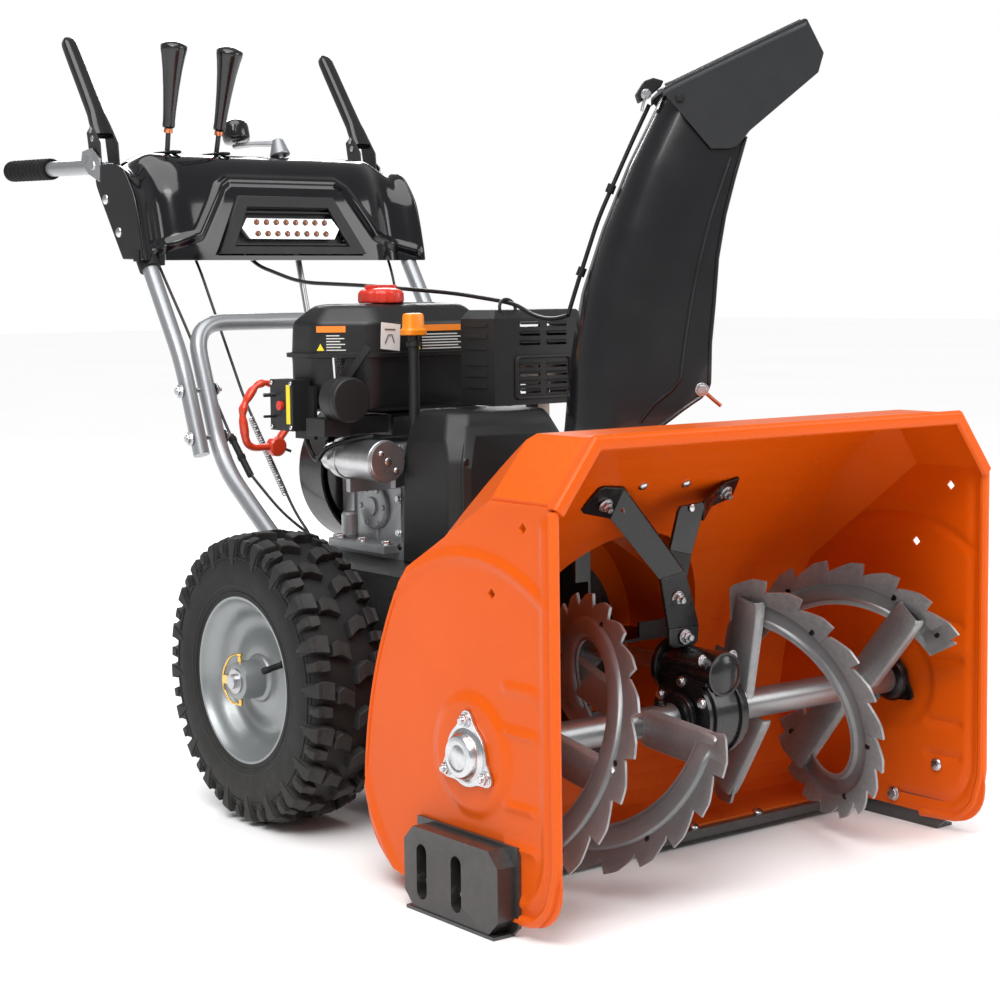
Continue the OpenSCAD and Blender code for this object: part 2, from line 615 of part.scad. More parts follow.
/* ---- auger and impeller ---- */
module auger_shaft() color("Silver") at_axle()
    along_x([-half_w - 8, auger_y, auger_z], 12.5, intake_w + 16);
// one serrated ribbon: x runs from x0 as the angle goes from a to b; 0 is the front and 90 the top
flight_pitch = 0.97;
function tip_r(i) = auger_r - 16 + 16 * (i % 3) / 2;
module ribbon(s, x0, a, b) {
    n = 3 * round(abs(b - a) / 24);
    function at(i, r, dx) = let (t = a + (b - a) * i / n)
        [s * (x0 + flight_pitch * abs(b - a) * i / n) + dx, auger_y - r * cos(t), auger_z + r * sin(t)];
    skin([for (i = [0:n])
        [at(i, auger_r - 58, -2), at(i, auger_r - 58, 2), at(i, tip_r(i), 2), at(i, tip_r(i), -2)]]);
}
// flat arm from the shaft sleeve out to a ribbon
module arm(x, a) translate([x, auger_y, auger_z]) rotate([90 - a, 0, 0])
    box([-4, -16, 15], [4, 16, auger_r - 44]);
// sleeve that slides over the shaft and carries the arms
module sleeve(a, b) along_x([a, auger_y, auger_z], 19, b - a);
module sleeve_bore() along_x([-half_w, auger_y, auger_z], 12.5 + fit, intake_w);
module auger_flights_right() color("DimGray") at_axle() difference() {
    union() {
        sleeve(18 - half_w, -52);
        ribbon(-1, 84, 190, -55);
        ribbon(-1, 108, 5, -205);
        for (i = [30, 200]) arm(-84 - flight_pitch * i, 190 - i);
        for (i = [10, 180]) arm(-108 - flight_pitch * i, 5 - i);
    }
    sleeve_bore();
}
module auger_flights_left() color("DimGray") at_axle() difference() {
    union() {
        sleeve(52, half_w - 18);
        ribbon(1, 56, 92, -154);
        ribbon(1, 105, 250, 26);
        for (i = [12, 220]) arm(56 + flight_pitch * i, 92 - i);
        for (i = [10, 200]) arm(105 + flight_pitch * i, 250 - i);
    }
    sleeve_bore();
}
function worm_tooth(a, r, w) = [r * cos(a) - w * sin(a), r * sin(a) + w * cos(a)];
module worm_wheel() color("Goldenrod") at_axle() translate([-9, auger_y, auger_z]) rotate([0, 90, 0])
    linear_extrude(18) difference() {
        polygon([for (i = [0:worm_teeth - 1]) let (a = 180 + 360 * i / worm_teeth) each [
            worm_tooth(a, 36, -4.4), worm_tooth(a, 42, -1.6), worm_tooth(a, 42, 1.6), worm_tooth(a, 36, 4.4)]]);
        circle(12.5 + fit);
    }
module impeller() color("DimGray") at_axle() translate([0, 0, drum_z]) difference() {
    union() {
        along_y([0, -330, 0], 30, 96);
        along_y([0, -240, 0], 120, 5);
        for (a = [0:90:270]) rotate([0, a, 0]) {
            box([-2, -330, 20], [2, -238, impeller_d / 2]);
            box([-24, -330, 90], [0, -326, impeller_d / 2 - 4]);
        }
    }
    along_y([0, -400, 0], 12 + fit, 300);
}
module impeller_shaft() color("Silver") at_axle() translate([0, 0, drum_z]) {
    along_y([0, -520, 0], 12 - fit, 520 - 118);
    along_y([0, -584, 0], 8, 70);
    translate([0, auger_y - 1.5 * worm_lead, 0]) rotate([-90, 0, 0]) linear_extrude(3 * worm_lead, twist = 1080,
        slices = 54) translate([0, 3]) circle(14, $fn = 16);
    pulley(belt_auger_y, 92);
}

/* ---- chute ---- */
module at_chute() at_axle() translate([chute_x, chute_y, 0]) rotate([0, 0, chute_turn - 90]) children();
// U-shaped section of the chute: back at b = [reach, height], front at f, half width w; reach runs
// along local +x, the back is round and the two sides run straight to the front
function chute_ring_at(b, f, w, t) = let (n = 20) [for (k = [0:n - 1]) let (a = 360 * k / n,
    e = cos(a) > 0 ? 0.35 : 0.72, r = abs(cos(a)), q = sign(cos(a)) * pow(r, e),
    p = sign(sin(a)) * pow(abs(sin(a)), e), u = 0.5 + 0.5 * q)
    [b[0] + t + (f[0] - b[0] - 2 * t) * u, (w - t) * p, b[1] + (f[1] - b[1]) * u]];
function chute_sections(t) = [
    [for (k = [0:19]) [(chute_r - t) * cos(18 * k), (chute_r - t) * sin(18 * k), ring_z + 6 - (t > 0 ? 1 : 0)]],
    [for (k = [0:19]) [(chute_r - t) * cos(18 * k) - 1, (chute_r - t) * sin(18 * k), 490]],
    chute_ring_at([-81, 550], [100, 550], 84, t), chute_ring_at([-73, 640], [132, 640], 80, t),
    chute_ring_at([-57, 730], [148, 726], 76, t), chute_ring_at([-29, 815], [164, 800], 71, t),
    chute_ring_at([6, 900], [188, 868], 66, t),
    chute_ring_at([50, 990 + (t > 0 ? 1 : 0)], [214, 899 + (t > 0 ? 1 : 0)], 62, t)];
// everything in front of the chute's open side, as reach and height
chute_mouth = [[8, 535], [47, 561], [96, 595], [104, 606], [104, 661], [109, 711], [114, 773], [124, 829],
    [137, 878], [153, 932], [160, 960], [330, 960], [330, 535]];
module chute_body() color("Black") at_chute() difference() {
    union() {
        difference() {
            skin(chute_sections(0));
            skin(chute_sections(4));
            rotate([90, 0, 0]) translate([0, 0, -120]) linear_extrude(240) polygon(chute_mouth);
        }
        // ring gear that the chute turns on
        translate([0, 0, ring_z]) linear_extrude(8) difference() {
            gear_outline(40, ring_module);
            circle(chute_r - 3);
        }
        // hinge ears of the deflector, grown out of the two sides
        for (s = [-1, 1]) hull() {
            translate([hood_pivot[0] - 4, s * 49.5 - 9.5, hood_pivot[1] - 32]) cube([16, 19, 6]);
            translate([hood_pivot[0] + 2, s * 49.5 - 9.5, hood_pivot[1] - 14]) cube([12, 19, 6]);
        }
    }
    translate([hood_pivot[0] + 8, -80, hood_pivot[1] - 20]) rotate([-90, 0, 0]) cylinder(r = 3 + fit, h = 160);
}
module chute_deflector() color("DimGray") at_chute() translate([hood_pivot[0], 0, hood_pivot[1]]) {
    for (s = [-1, 1]) rotate([90, 0, 0]) translate([0, 0, s * 70 - 1.5]) linear_extrude(3)
        polygon([[-14, -10], [-2, 0], [172, 81], [196, 37], [189, 12], [96, -65], [82, -82], [49, -85]]);
    rotate([90, 0, 0]) translate([0, 0, -71]) linear_extrude(142)
        polygon([[-14, -6], [172, 77], [170, 83], [-16, -1]]);
    translate([8, -66, -20]) rotate([-90, 0, 0]) cylinder(r = 3, h = 132);
    for (s = [-1, 1]) translate([8, s * 67 - 4, -20]) rotate([-90, 0, 0]) cylinder(r = 8, h = 8);
}
chute_cable_route = bend([[-76, 0, 700], [-63, 0, 742], [-34, 0, 830], [11, 0, 930], [34, 0, 978]], 20, 3);
module chute_cable() color("Black") at_chute() rod(chute_cable_route, 3, 8, [0, 1, 0]);
module chute_pinion() color("Silver") at_axle() translate([chute_x, chute_y, ring_z]) rotate(pinion_angle)
    translate([pinion_reach, 0, 0]) {
        linear_extrude(8) rotate(180) gear_outline(8, ring_module);
        translate([0, 0, -26]) cylinder(r = 6, h = 26);
    }

/* ---- hand controls ---- */
crank_tilt = 16;
module crank_handle() color("Silver") at_axle() translate([48, 508, 958]) rotate([-crank_tilt, 0, 0]) {
    translate([0, 0, -330]) cylinder(r = 5, h = 330);
    cylinder(r1 = 14, r2 = 8, h = 18);
    rotate([0, 0, 128]) box([0, -5, 14], [74, 5, 19]);
    rotate([0, 0, 128]) translate([70, 0, 16]) {
        cylinder(r = 4, h = 24);
        translate([0, 0, 12]) cylinder(r = 19, h = 30);
    }
}
// lever with its eye on the pivot rod; its upper part is bent forwards by the angle lean
module shift_lever(x, lean) translate([x, 515, 880]) {
    translate([0, 0, 7]) cylinder(r = 4, h = 66);
    difference() {
        along_x([-9, 0, 0], 9, 18);
        along_x([-12, 0, 0], 4 + fit, 24);
    }
    translate([0, 0, 67]) cylinder(r = 6, h = 10);
    translate([0, 0, 72]) rotate([lean, 0, 0]) {
        cylinder(r = 4.2, h = 56);
        translate([0, 0, 48]) cylinder(r1 = 9, r2 = 18, h = 112);
        translate([0, 0, 160]) cylinder(r1 = 18, r2 = 9, h = 8);
    }
}
module speed_lever() color("Black") at_axle() shift_lever(shift_levers[0][0], shift_levers[0][1]);
module deflector_lever() color("Black") at_axle() shift_lever(shift_levers[1][0], shift_levers[1][1]);
module clutch_lever(s) at_axle() translate([s * lever_pivot[0], lever_pivot[1], lever_pivot[2]])
    rotate([lever_lift, 0, 0]) difference() {
        union() {
            difference() {
                union() {
                    box([-17, 22, 14], [17, 70, 34]);
                    box([-12, 60, 14], [12, 236, 34]);
                }
                box([-14, 18, 10], [14, 67, 31]);
                box([-9, 50, 10], [9, 233, 31]);
            }
            for (t = [-1, 1]) box([t > 0 ? 14 : -17, -14, -14], [t > 0 ? 17 : -14, 60, 30]);
        }
        along_x([-40, 0, 0], 4 + fit, 80);
    }
module clutch_lever_left() color("DimGray") clutch_lever(1);
module clutch_lever_right() color("DimGray") clutch_lever(-1);
module idler(px, py, pz, qx, qz, r) {
    difference() {
        union() {
            along_y([px, py, pz], 14, 5);
            hull() {
                along_y([px, py, pz], 10, 5);
                along_y([qx, py, qz], 9, 5);
            }
        }
        along_y([px, py - 5, pz], 8 + fit, 20);
    }
    along_y([qx, py, qz], 6, 26);
    along_y([qx, py + 8, qz], r, 16);
}
module auger_idler() color("Gray") at_axle() idler(-150, -156, 200, -118, 300, 18);
module drive_idler() color("Gray") at_axle() idler(150, -91, 250, 84, 330, 16);

/* ---- skid shoes ---- */
module skid_shoe(s) color("Black") at_axle() mirror([s < 0 ? 1 : 0, 0, 0]) difference() {
    union() {
        across(half_w + 6, half_w + skid_w) polygon([[-632, 22], [-632, 84], [-614, 102], [-468, 102],
            [-450, 84], [-450, 22], [-468, 4], [-614, 4]]);
        across(half_w + 0.6, half_w + 6) polygon([[-638, 12], [-638, 106], [-444, 106], [-444, 12],
            [-458, 0], [-624, 0]]);
        box([half_w + 0.6, -626, 0], [half_w + skid_w + 2, -456, 4]);
    }
    // wide slot for the bolt's head through the pad, narrow slot through the back plate
    for (y = skid_bolts) {
        hull() for (z = [26, 73]) along_x([half_w + 6, y, z], 10, 60);
        hull() for (z = [26, 73]) along_x([half_w - 10, y, z], 5.3, 60);
    }
}
module skid_shoe_left() skid_shoe(1);
module skid_shoe_right() skid_shoe(-1);

/* ---- small controls on the engine ---- */
module recoil_handle() color("Red") at_axle() {
    rod(bend([[-141, 250, 500], [-182, 250, 500], [-190, 250, 560], [-160, 250, 600], [-112, 250, 590],
        [-100, 250, 540], [-127, 250, 508]], 18, 4), 8, 10, [0, 1, 0]);
    along_y([-130, 240, 500], 15, 20);
}
module start_button() color("Red") at_axle() along_x([-219, 98, 572], 6.6, 10);
module throttle_lever() color("Black") at_axle() at_throttle() difference() {
    union() {
        along_y([0, -9.5, 0], 9, 6.5);
        rotate([0, 35, 0]) box([-5, -12.5, 0], [5, -8.5, 62]);
    }
    along_y([0, -20, 0], 4 + fit, 30);
}
module fuel_cap() color("Red") at_axle() translate([-60, 66, 716.3]) {
    cylinder(r = 33, h = 16);
    translate([0, 0, 16]) cylinder(r1 = 30, r2 = 24, h = 6);
    translate([0, 0, -10]) cylinder(r = 23, h = 10);
}
module dipstick() color("Orange") at_axle() translate([-67, -24, 670.4]) {
    cylinder(r = 13, h = 10);
    translate([0, 0, 10]) cylinder(r = 17, h = 22);
    translate([0, 0, -190]) cylinder(r = 2.5, h = 190);
}

auger_housing();
side_plate_left();
side_plate_right();
impeller_housing();
scraper_bar();
bearing_flanges();
brace_straps();
gearbox_case();
tractor_frame();
belt_cover();
engine_block();
blower_housing();
fuel_tank();
starter_motor();
switch_box();
intake_cap();
muffler();
muffler_guard();
dipstick_tube();
belts();
handle_lower();
handle_upper();
grips();
console_shell();
console_bezel();
led_lamp();
control_cables();
fasteners();
axle();
tyres();
rims();
hub_pins();
hex_shaft();
friction_wheel();
crankshaft();
friction_disc();
auger_shaft();
auger_flights_left();
auger_flights_right();
worm_wheel();
impeller();
impeller_shaft();
chute_body();
chute_deflector();
chute_cable();
chute_pinion();
crank_handle();
speed_lever();
deflector_lever();
clutch_lever_left();
clutch_lever_right();
auger_idler();
drive_idler();
skid_shoe_left();
skid_shoe_right();
recoil_handle();
start_button();
throttle_lever();
fuel_cap();
dipstick();
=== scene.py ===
"""Looks of the two-stage snow blower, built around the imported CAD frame.

Lengths are millimetres in the wheel-axle frame: x across, y from the axle, z from the ground.
at() turns them into metres in the row frame.
"""
import math
import bpy
import bmesh
from mathutils import Matrix, Vector, noise
from mathutils.geometry import delaunay_2d_cdt


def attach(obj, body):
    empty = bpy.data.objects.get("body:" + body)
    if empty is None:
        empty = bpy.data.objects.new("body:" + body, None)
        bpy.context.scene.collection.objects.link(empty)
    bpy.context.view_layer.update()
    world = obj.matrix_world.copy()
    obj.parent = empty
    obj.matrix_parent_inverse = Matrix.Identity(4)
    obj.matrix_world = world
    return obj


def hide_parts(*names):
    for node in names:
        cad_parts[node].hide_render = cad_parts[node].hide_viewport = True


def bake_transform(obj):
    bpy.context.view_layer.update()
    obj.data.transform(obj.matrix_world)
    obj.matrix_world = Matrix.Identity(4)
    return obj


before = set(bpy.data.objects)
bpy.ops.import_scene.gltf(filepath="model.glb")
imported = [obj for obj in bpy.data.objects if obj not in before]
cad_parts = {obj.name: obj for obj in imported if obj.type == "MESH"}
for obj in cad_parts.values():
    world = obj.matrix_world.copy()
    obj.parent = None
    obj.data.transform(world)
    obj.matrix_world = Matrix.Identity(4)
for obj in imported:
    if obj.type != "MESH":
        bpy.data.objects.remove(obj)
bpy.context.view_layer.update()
AXLE_Y = -90.0
HALF_W = 365.0
INTAKE_H = 572.0
AUGER = (-548.0, 198.0)
DRUM_Z = 253.0
AXLE_Z = 203.0


def at(x, y, z):
    return Vector((x / 1000, (y + AXLE_Y) / 1000, z / 1000))


# ---------------------------------------------------------------- camera

def make_camera():
    yaw, pitch, roll = 0.6612, 0.1037, -0.0095
    forward = Vector((math.sin(yaw) * math.cos(pitch), math.cos(yaw) * math.cos(pitch), -math.sin(pitch)))
    right = Vector((math.cos(yaw), -math.sin(yaw), 0))
    up = right.cross(forward)
    turned_right = right * math.cos(roll) + up * math.sin(roll)
    turned_up = up * math.cos(roll) - right * math.sin(roll)
    data = bpy.data.cameras.new("camera")
    data.sensor_width = 36
    data.lens = 74.376
    data.clip_end = 100
    camera = bpy.data.objects.new("camera", data)
    bpy.context.collection.objects.link(camera)
    turn = Matrix((turned_right, turned_up, -forward)).transposed().to_4x4()
    camera.matrix_world = Matrix.Translation(at(-1787.3, -2432.9, 741.1)) @ turn
    bpy.context.scene.camera = camera


make_camera()


# ---------------------------------------------------------------- materials

MATERIALS = {}


def add_node(tree, kind, **inputs):
    node = tree.nodes.new(kind)
    for key, value in inputs.items():
        node.inputs[key.replace("_", " ")].default_value = value
    return node


def surface(name, color, rough=0.4, metal=0.0, coat=0.0, tint=0.12, tint_scale=9.0, rough_swing=0.08,
            bump=0.15, bump_scale=900.0, stretch=(1, 1, 1), wear=None, wear_amount=0.0, dust=0.0, spec=0.5):
    """Procedural material: two close tints, uneven roughness, fine relief, and wear on the edges."""
    mat = bpy.data.materials.new(name)
    mat.use_nodes = True
    tree = mat.node_tree
    bsdf = tree.nodes["Principled BSDF"]
    link = tree.links.new
    coords = tree.nodes.new("ShaderNodeTexCoord")
    mapping = add_node(tree, "ShaderNodeMapping", Scale=stretch)
    link(coords.outputs["Object"], mapping.inputs["Vector"])

    clouds = add_node(tree, "ShaderNodeTexNoise", Scale=tint_scale, Detail=5.0, Roughness=0.6)
    link(coords.outputs["Object"], clouds.inputs["Vector"])
    ramp = tree.nodes.new("ShaderNodeValToRGB")
    dark = [max(0.0, c * (1 - tint)) for c in color]
    light = [min(1.0, c * (1 + tint) + 0.002) for c in color]
    ramp.color_ramp.elements[0].position = 0.3
    ramp.color_ramp.elements[0].color = (*dark, 1)
    ramp.color_ramp.elements[1].position = 0.7
    ramp.color_ramp.elements[1].color = (*light, 1)
    link(clouds.outputs["Fac"], ramp.inputs["Fac"])
    out_color = ramp.outputs["Color"]

    if dust:
        split = tree.nodes.new("ShaderNodeSeparateXYZ")
        link(coords.outputs["Object"], split.inputs["Vector"])
        low = add_node(tree, "ShaderNodeMapRange")
        low.inputs["From Min"].default_value = 0.22
        low.inputs["From Max"].default_value = 0.0
        link(split.outputs["Z"], low.inputs["Value"])
        specks = add_node(tree, "ShaderNodeTexNoise", Scale=60.0, Detail=6.0)
        link(coords.outputs["Object"], specks.inputs["Vector"])
        amount = tree.nodes.new("ShaderNodeMath")
        amount.operation = "MULTIPLY"
        link(low.outputs["Result"], amount.inputs[0])
        link(specks.outputs["Fac"], amount.inputs[1])
        amount2 = tree.nodes.new("ShaderNodeMath")
        amount2.operation = "MULTIPLY"
        amount2.inputs[1].default_value = dust
        link(amount.outputs["Value"], amount2.inputs[0])
        mix = tree.nodes.new("ShaderNodeMixRGB")
        mix.inputs["Color2"].default_value = (0.32, 0.29, 0.25, 1)
        link(amount2.outputs["Value"], mix.inputs["Fac"])
        link(out_color, mix.inputs["Color1"])
        out_color = mix.outputs["Color"]

    if wear_amount:
        geometry = tree.nodes.new("ShaderNodeNewGeometry")
        edge = add_node(tree, "ShaderNodeMapRange")
        edge.inputs["From Min"].default_value = 0.54
        edge.inputs["From Max"].default_value = 0.64
        link(geometry.outputs["Pointiness"], edge.inputs["Value"])
        chips = add_node(tree, "ShaderNodeTexNoise", Scale=140.0, Detail=4.0)
        link(coords.outputs["Object"], chips.inputs["Vector"])
        keep = tree.nodes.new("ShaderNodeMath")
        keep.operation = "MULTIPLY"
        link(edge.outputs["Result"], keep.inputs[0])
        link(chips.outputs["Fac"], keep.inputs[1])
        keep2 = tree.nodes.new("ShaderNodeMath")
        keep2.operation = "MULTIPLY"
        keep2.inputs[1].default_value = wear_amount
        link(keep.outputs["Value"], keep2.inputs[0])
        mix = tree.nodes.new("ShaderNodeMixRGB")
        mix.inputs["Color2"].default_value = (*wear, 1)
        link(keep2.outputs["Value"], mix.inputs["Fac"])
        link(out_color, mix.inputs["Color1"])
        out_color = mix.outputs["Color"]
    link(out_color, bsdf.inputs["Base Color"])

    patches = add_node(tree, "ShaderNodeTexNoise", Scale=tint_scale * 3.1, Detail=4.0)
    link(mapping.outputs["Vector"], patches.inputs["Vector"])
    swing = add_node(tree, "ShaderNodeMapRange")
    swing.inputs["To Min"].default_value = max(0.02, rough - rough_swing)
    swing.inputs["To Max"].default_value = min(1.0, rough + rough_swing)
    link(patches.outputs["Fac"], swing.inputs["Value"])
    link(swing.outputs["Result"], bsdf.inputs["Roughness"])

    if bump:
        grain = add_node(tree, "ShaderNodeTexNoise", Scale=bump_scale, Detail=3.0)
        link(mapping.outputs["Vector"], grain.inputs["Vector"])
        relief = tree.nodes.new("ShaderNodeBump")
        relief.inputs["Strength"].default_value = bump
        relief.inputs["Distance"].default_value = 0.0004
        link(grain.outputs["Fac"], relief.inputs["Height"])
        link(relief.outputs["Normal"], bsdf.inputs["Normal"])
    bsdf.inputs["Metallic"].default_value = metal
    bsdf.inputs["Specular IOR Level"].default_value = spec
    bsdf.inputs["Coat Weight"].default_value = coat
    bsdf.inputs["Coat Roughness"].default_value = 0.06
    MATERIALS[name] = mat
    return mat


def make_materials():
    surface("orange_paint", (0.69, 0.092, 0.0010), rough=0.30, coat=0.07, tint=0.05, tint_scale=3.0,
            bump=0.05,
            bump_scale=260, wear=(0.88, 0.27, 0.06), wear_amount=0.35, dust=0.05, spec=0.16)
    surface("black_paint", (0.006, 0.006, 0.0065), rough=0.33, coat=0.2, tint=0.25, bump=0.10, bump_scale=400,
            wear=(0.10, 0.10, 0.10), wear_amount=0.6, dust=0.10)
    surface("gear_black", (0.005, 0.005, 0.0055), rough=0.28, coat=0.25, tint=0.3, bump=0.25, bump_scale=330)
    surface("auger_grey", (0.20, 0.205, 0.21), rough=0.36, metal=0.55, tint=0.16, tint_scale=14, bump=0.12,
            bump_scale=420, wear=(0.55, 0.55, 0.55), wear_amount=0.9)
    surface("shaft_silver", (0.30, 0.305, 0.31), rough=0.34, metal=0.85, tint=0.10, bump=0.10, bump_scale=500,
            stretch=(6, 1, 1))
    surface("handle_grey", (0.30, 0.31, 0.325), rough=0.36, metal=0.55, coat=0.25, tint=0.06, bump=0.07,
            bump_scale=650)
    surface("rim_silver", (0.27, 0.285, 0.29), rough=0.38, metal=0.6, coat=0.2, tint=0.07, bump=0.10,
            bump_scale=500, dust=0.05)
    surface("zinc", (0.62, 0.63, 0.65), rough=0.27, metal=1.0, tint=0.14, tint_scale=60, bump=0.12,
            bump_scale=800)
    surface("steel", (0.50, 0.50, 0.51), rough=0.32, metal=1.0, tint=0.10, tint_scale=40, bump=0.10,
            bump_scale=700, stretch=(1, 8, 1))
    surface("cast_alloy", (0.47, 0.48, 0.49), rough=0.47, metal=0.85, tint=0.12, tint_scale=24, bump=0.55,
            bump_scale=520)
    surface("starter_metal", (0.60, 0.60, 0.61), rough=0.30, metal=0.95, tint=0.08, tint_scale=30, bump=0.10,
            bump_scale=600, stretch=(1, 9, 1))
    surface("heat_steel", (0.30, 0.27, 0.24), rough=0.42, metal=0.9, tint=0.3, tint_scale=22, bump=0.2)
    surface("tank_black", (0.0049, 0.0051, 0.006), rough=0.40, tint=0.2, bump=0.30, bump_scale=900)
    surface("cover_black", (0.0085, 0.0088, 0.0095), rough=0.50, tint=0.18, bump=0.55, bump_scale=1000)
    surface("gloss_black", (0.0032, 0.0034, 0.0049), rough=0.14, coat=0.4, tint=0.2, rough_swing=0.04,
            bump=0.03,
            bump_scale=120, spec=0.35)
    surface("chute_black", (0.004, 0.0043, 0.006), rough=0.24, coat=0.35, tint=0.2, rough_swing=0.07,
            bump=0.10,
            bump_scale=300)
    surface("hood_grey", (0.0078, 0.0092, 0.012), rough=0.46, tint=0.12, bump=0.5, bump_scale=1100)
    surface("foam_black", (0.0065, 0.0065, 0.0065), rough=0.85, tint=0.25, tint_scale=60, bump=1.0,
            bump_scale=1600,
            spec=0.25)
    surface("rubber_black", (0.006, 0.006, 0.006), rough=0.62, tint=0.25, bump=0.3, bump_scale=700, spec=0.35)
    surface("tyre_black", (0.0072, 0.0072, 0.0075), rough=0.66, tint=0.25, tint_scale=20, bump=0.45,
            bump_scale=380,
            wear=(0.07, 0.068, 0.065), wear_amount=0.8, dust=0.10, spec=0.35)
    surface("cable_black", (0.005, 0.005, 0.005), rough=0.42, tint=0.2, bump=0.15, bump_scale=700)
    surface("cap_red", (0.62, 0.028, 0.012), rough=0.34, coat=0.15, tint=0.07, bump=0.2, bump_scale=900)
    surface("handle_red", (0.66, 0.045, 0.012), rough=0.30, coat=0.2, tint=0.08, bump=0.15, bump_scale=700)
    surface("dip_orange", (0.92, 0.27, 0.006), rough=0.33, coat=0.15, tint=0.06, bump=0.15, bump_scale=800)
    surface("pin_gold", (0.80, 0.52, 0.16), rough=0.27, metal=1.0, tint=0.15, tint_scale=70, bump=0.1)
    surface("bronze", (0.60, 0.36, 0.13), rough=0.33, metal=1.0, tint=0.15, tint_scale=40, bump=0.12)
    surface("copper", (0.78, 0.27, 0.13), rough=0.30, metal=1.0, tint=0.12, tint_scale=60, bump=0.1)
    surface("label_white", (0.72, 0.72, 0.70), rough=0.4, tint=0.04, bump=0.05)
    surface("label_orange", (0.90, 0.24, 0.02), rough=0.4, tint=0.04, bump=0.05)
    surface("label_yellow", (0.86, 0.70, 0.02), rough=0.4, tint=0.05, bump=0.05)
    surface("lens_clear", (0.60, 0.62, 0.64), rough=0.18, metal=0.7, coat=0.9, tint=0.1, tint_scale=90,
            bump=0.8, bump_scale=160)
    surface("grip_black", (0.006, 0.0062, 0.0068), rough=0.20, coat=0.4, tint=0.2, rough_swing=0.05,
            bump=0.06,
            bump_scale=500)
    surface("led_amber", (0.24, 0.095, 0.05), rough=0.25, metal=0.4, coat=0.8, tint=0.25, tint_scale=160,
            bump=0.3)


make_materials()


# ---------------------------------------------------------------- shapes: (points, faces)

def join(*shapes):
    points, faces = [], []
    for shape in shapes:
        base = len(points)
        points += list(shape[0])
        faces += [tuple(i + base for i in face) for face in shape[1]]
    return points, faces


def moved(shape, matrix):
    return [matrix @ Vector(p) for p in shape[0]], shape[1]


def axes_for(axis):
    axis = Vector(axis).normalized()
    side = Vector((0, 0, 1)) if abs(axis.z) < 0.9 else Vector((1, 0, 0))
    u = side.cross(axis).normalized()
    return u, axis.cross(u), axis


def loft(rings, closed=True, cap_start=True, cap_end=True, around=True):
    """Skin over rings of equally many points. around joins the last point of a ring to its first."""
    count = len(rings[0])
    points = [Vector(p) for ring in rings for p in ring]
    faces = []
    rows = len(rings) if closed == "loop" else len(rings) - 1
    for i in range(rows):
        a, b = i * count, ((i + 1) % len(rings)) * count
        for k in range(count if around else count - 1):
            j = (k + 1) % count
            faces.append((a + k, a + j, b + j, b + k))
    if closed != "loop" and around:
        if cap_start:
            faces.append(tuple(range(count - 1, -1, -1)))
        if cap_end:
            faces.append(tuple((len(rings) - 1) * count + k for k in range(count)))
    return points, faces


def lathe(profile, origin, axis, sides=48, start=0.0):
    """profile is [(radius, height along axis)]; radius 0 closes the end."""
    u, v, w = axes_for(axis)
    origin = Vector(origin)
    rings = []
    for radius, height in profile:
        r = max(radius, 0.01)
        rings.append([origin + w * height + (u * math.cos(start + 2 * math.pi * k / sides)
                      + v * math.sin(start + 2 * math.pi * k / sides)) * r for k in range(sides)])
    return loft(rings)


def prism(outline, origin, u, v, depth):
    """Polygon [(a, b)] in the plane of u and v, pushed along u x v by depth."""
    u, v, origin = Vector(u), Vector(v), Vector(origin)
    w = u.cross(v).normalized() * depth
    low = [origin + u * a + v * b for a, b in outline]
    return loft([low, [p + w for p in low]])


def block(low, high):
    x0, y0, z0 = low
    x1, y1, z1 = high
    return prism([(0, 0), (x1 - x0, 0), (x1 - x0, y1 - y0), (0, y1 - y0)], low, (1, 0, 0), (0, 1, 0), z1 - z0)


def corner_curve(points, reach, steps=6):
    """Rounds every inner corner of a route with a quadratic curve, as the CAD does."""
    points = [Vector(p) for p in points]
    out = [points[0]]
    for before, here, after in zip(points, points[1:], points[2:]):
        a = here + (before - here).normalized() * min(reach, (before - here).length / 2.05)
        b = here + (after - here).normalized() * min(reach, (after - here).length / 2.05)
        for i in range(steps + 1):
            t = i / steps
            out.append(a * (1 - t) ** 2 + here * 2 * t * (1 - t) + b * t * t)
    out.append(points[-1])
    return out


def path_frames(path):
    """Parallel-transport frames along a route."""
    path = [Vector(p) for p in path]
    tangents = []
    for i in range(len(path)):
        tangents.append((path[min(i + 1, len(path) - 1)] - path[max(i - 1, 0)]).normalized())
    u = axes_for(tangents[0])[0]
    frames = []
    for point, tangent in zip(path, tangents):
        u = (u - tangent * u.dot(tangent)).normalized()
        frames.append((point, u, tangent.cross(u), tangent))
    return frames


def tube(path, radius, sides=14):
    """Round rod along a route; radius is a number or a function of the share of the way."""
    frames = path_frames(path)
    rings = []
    for i, (point, u, v, _) in enumerate(frames):
        r = radius(i / (len(frames) - 1)) if callable(radius) else radius
        rings.append([point + (u * math.cos(2 * math.pi * k / sides)
                + v * math.sin(2 * math.pi * k / sides)) * r
                      for k in range(sides)])
    return loft(rings)


def coil(path, coil_radius, wire, turns, sides=6, per_turn=12):
    """Helix of wire wound round a route."""
    frames = path_frames(path)
    lengths = [0.0]
    for a, b in zip(frames, frames[1:]):
        lengths.append(lengths[-1] + (b[0] - a[0]).length)
    out = []
    for step in range(turns * per_turn + 1):
        share = step / (turns * per_turn) * lengths[-1]
        i = max(k for k in range(len(lengths) - 1) if lengths[k] <= share + 1e-9)
        t = (share - lengths[i]) / (lengths[i + 1] - lengths[i])
        p = frames[i][0].lerp(frames[i + 1][0], t)
        u = frames[i][1].lerp(frames[i + 1][1], t)
        v = frames[i][2].lerp(frames[i + 1][2], t)
        angle = 2 * math.pi * step / per_turn
        out.append(p + (u * math.cos(angle) + v * math.sin(angle)) * coil_radius)
    return tube(out, wire, sides)


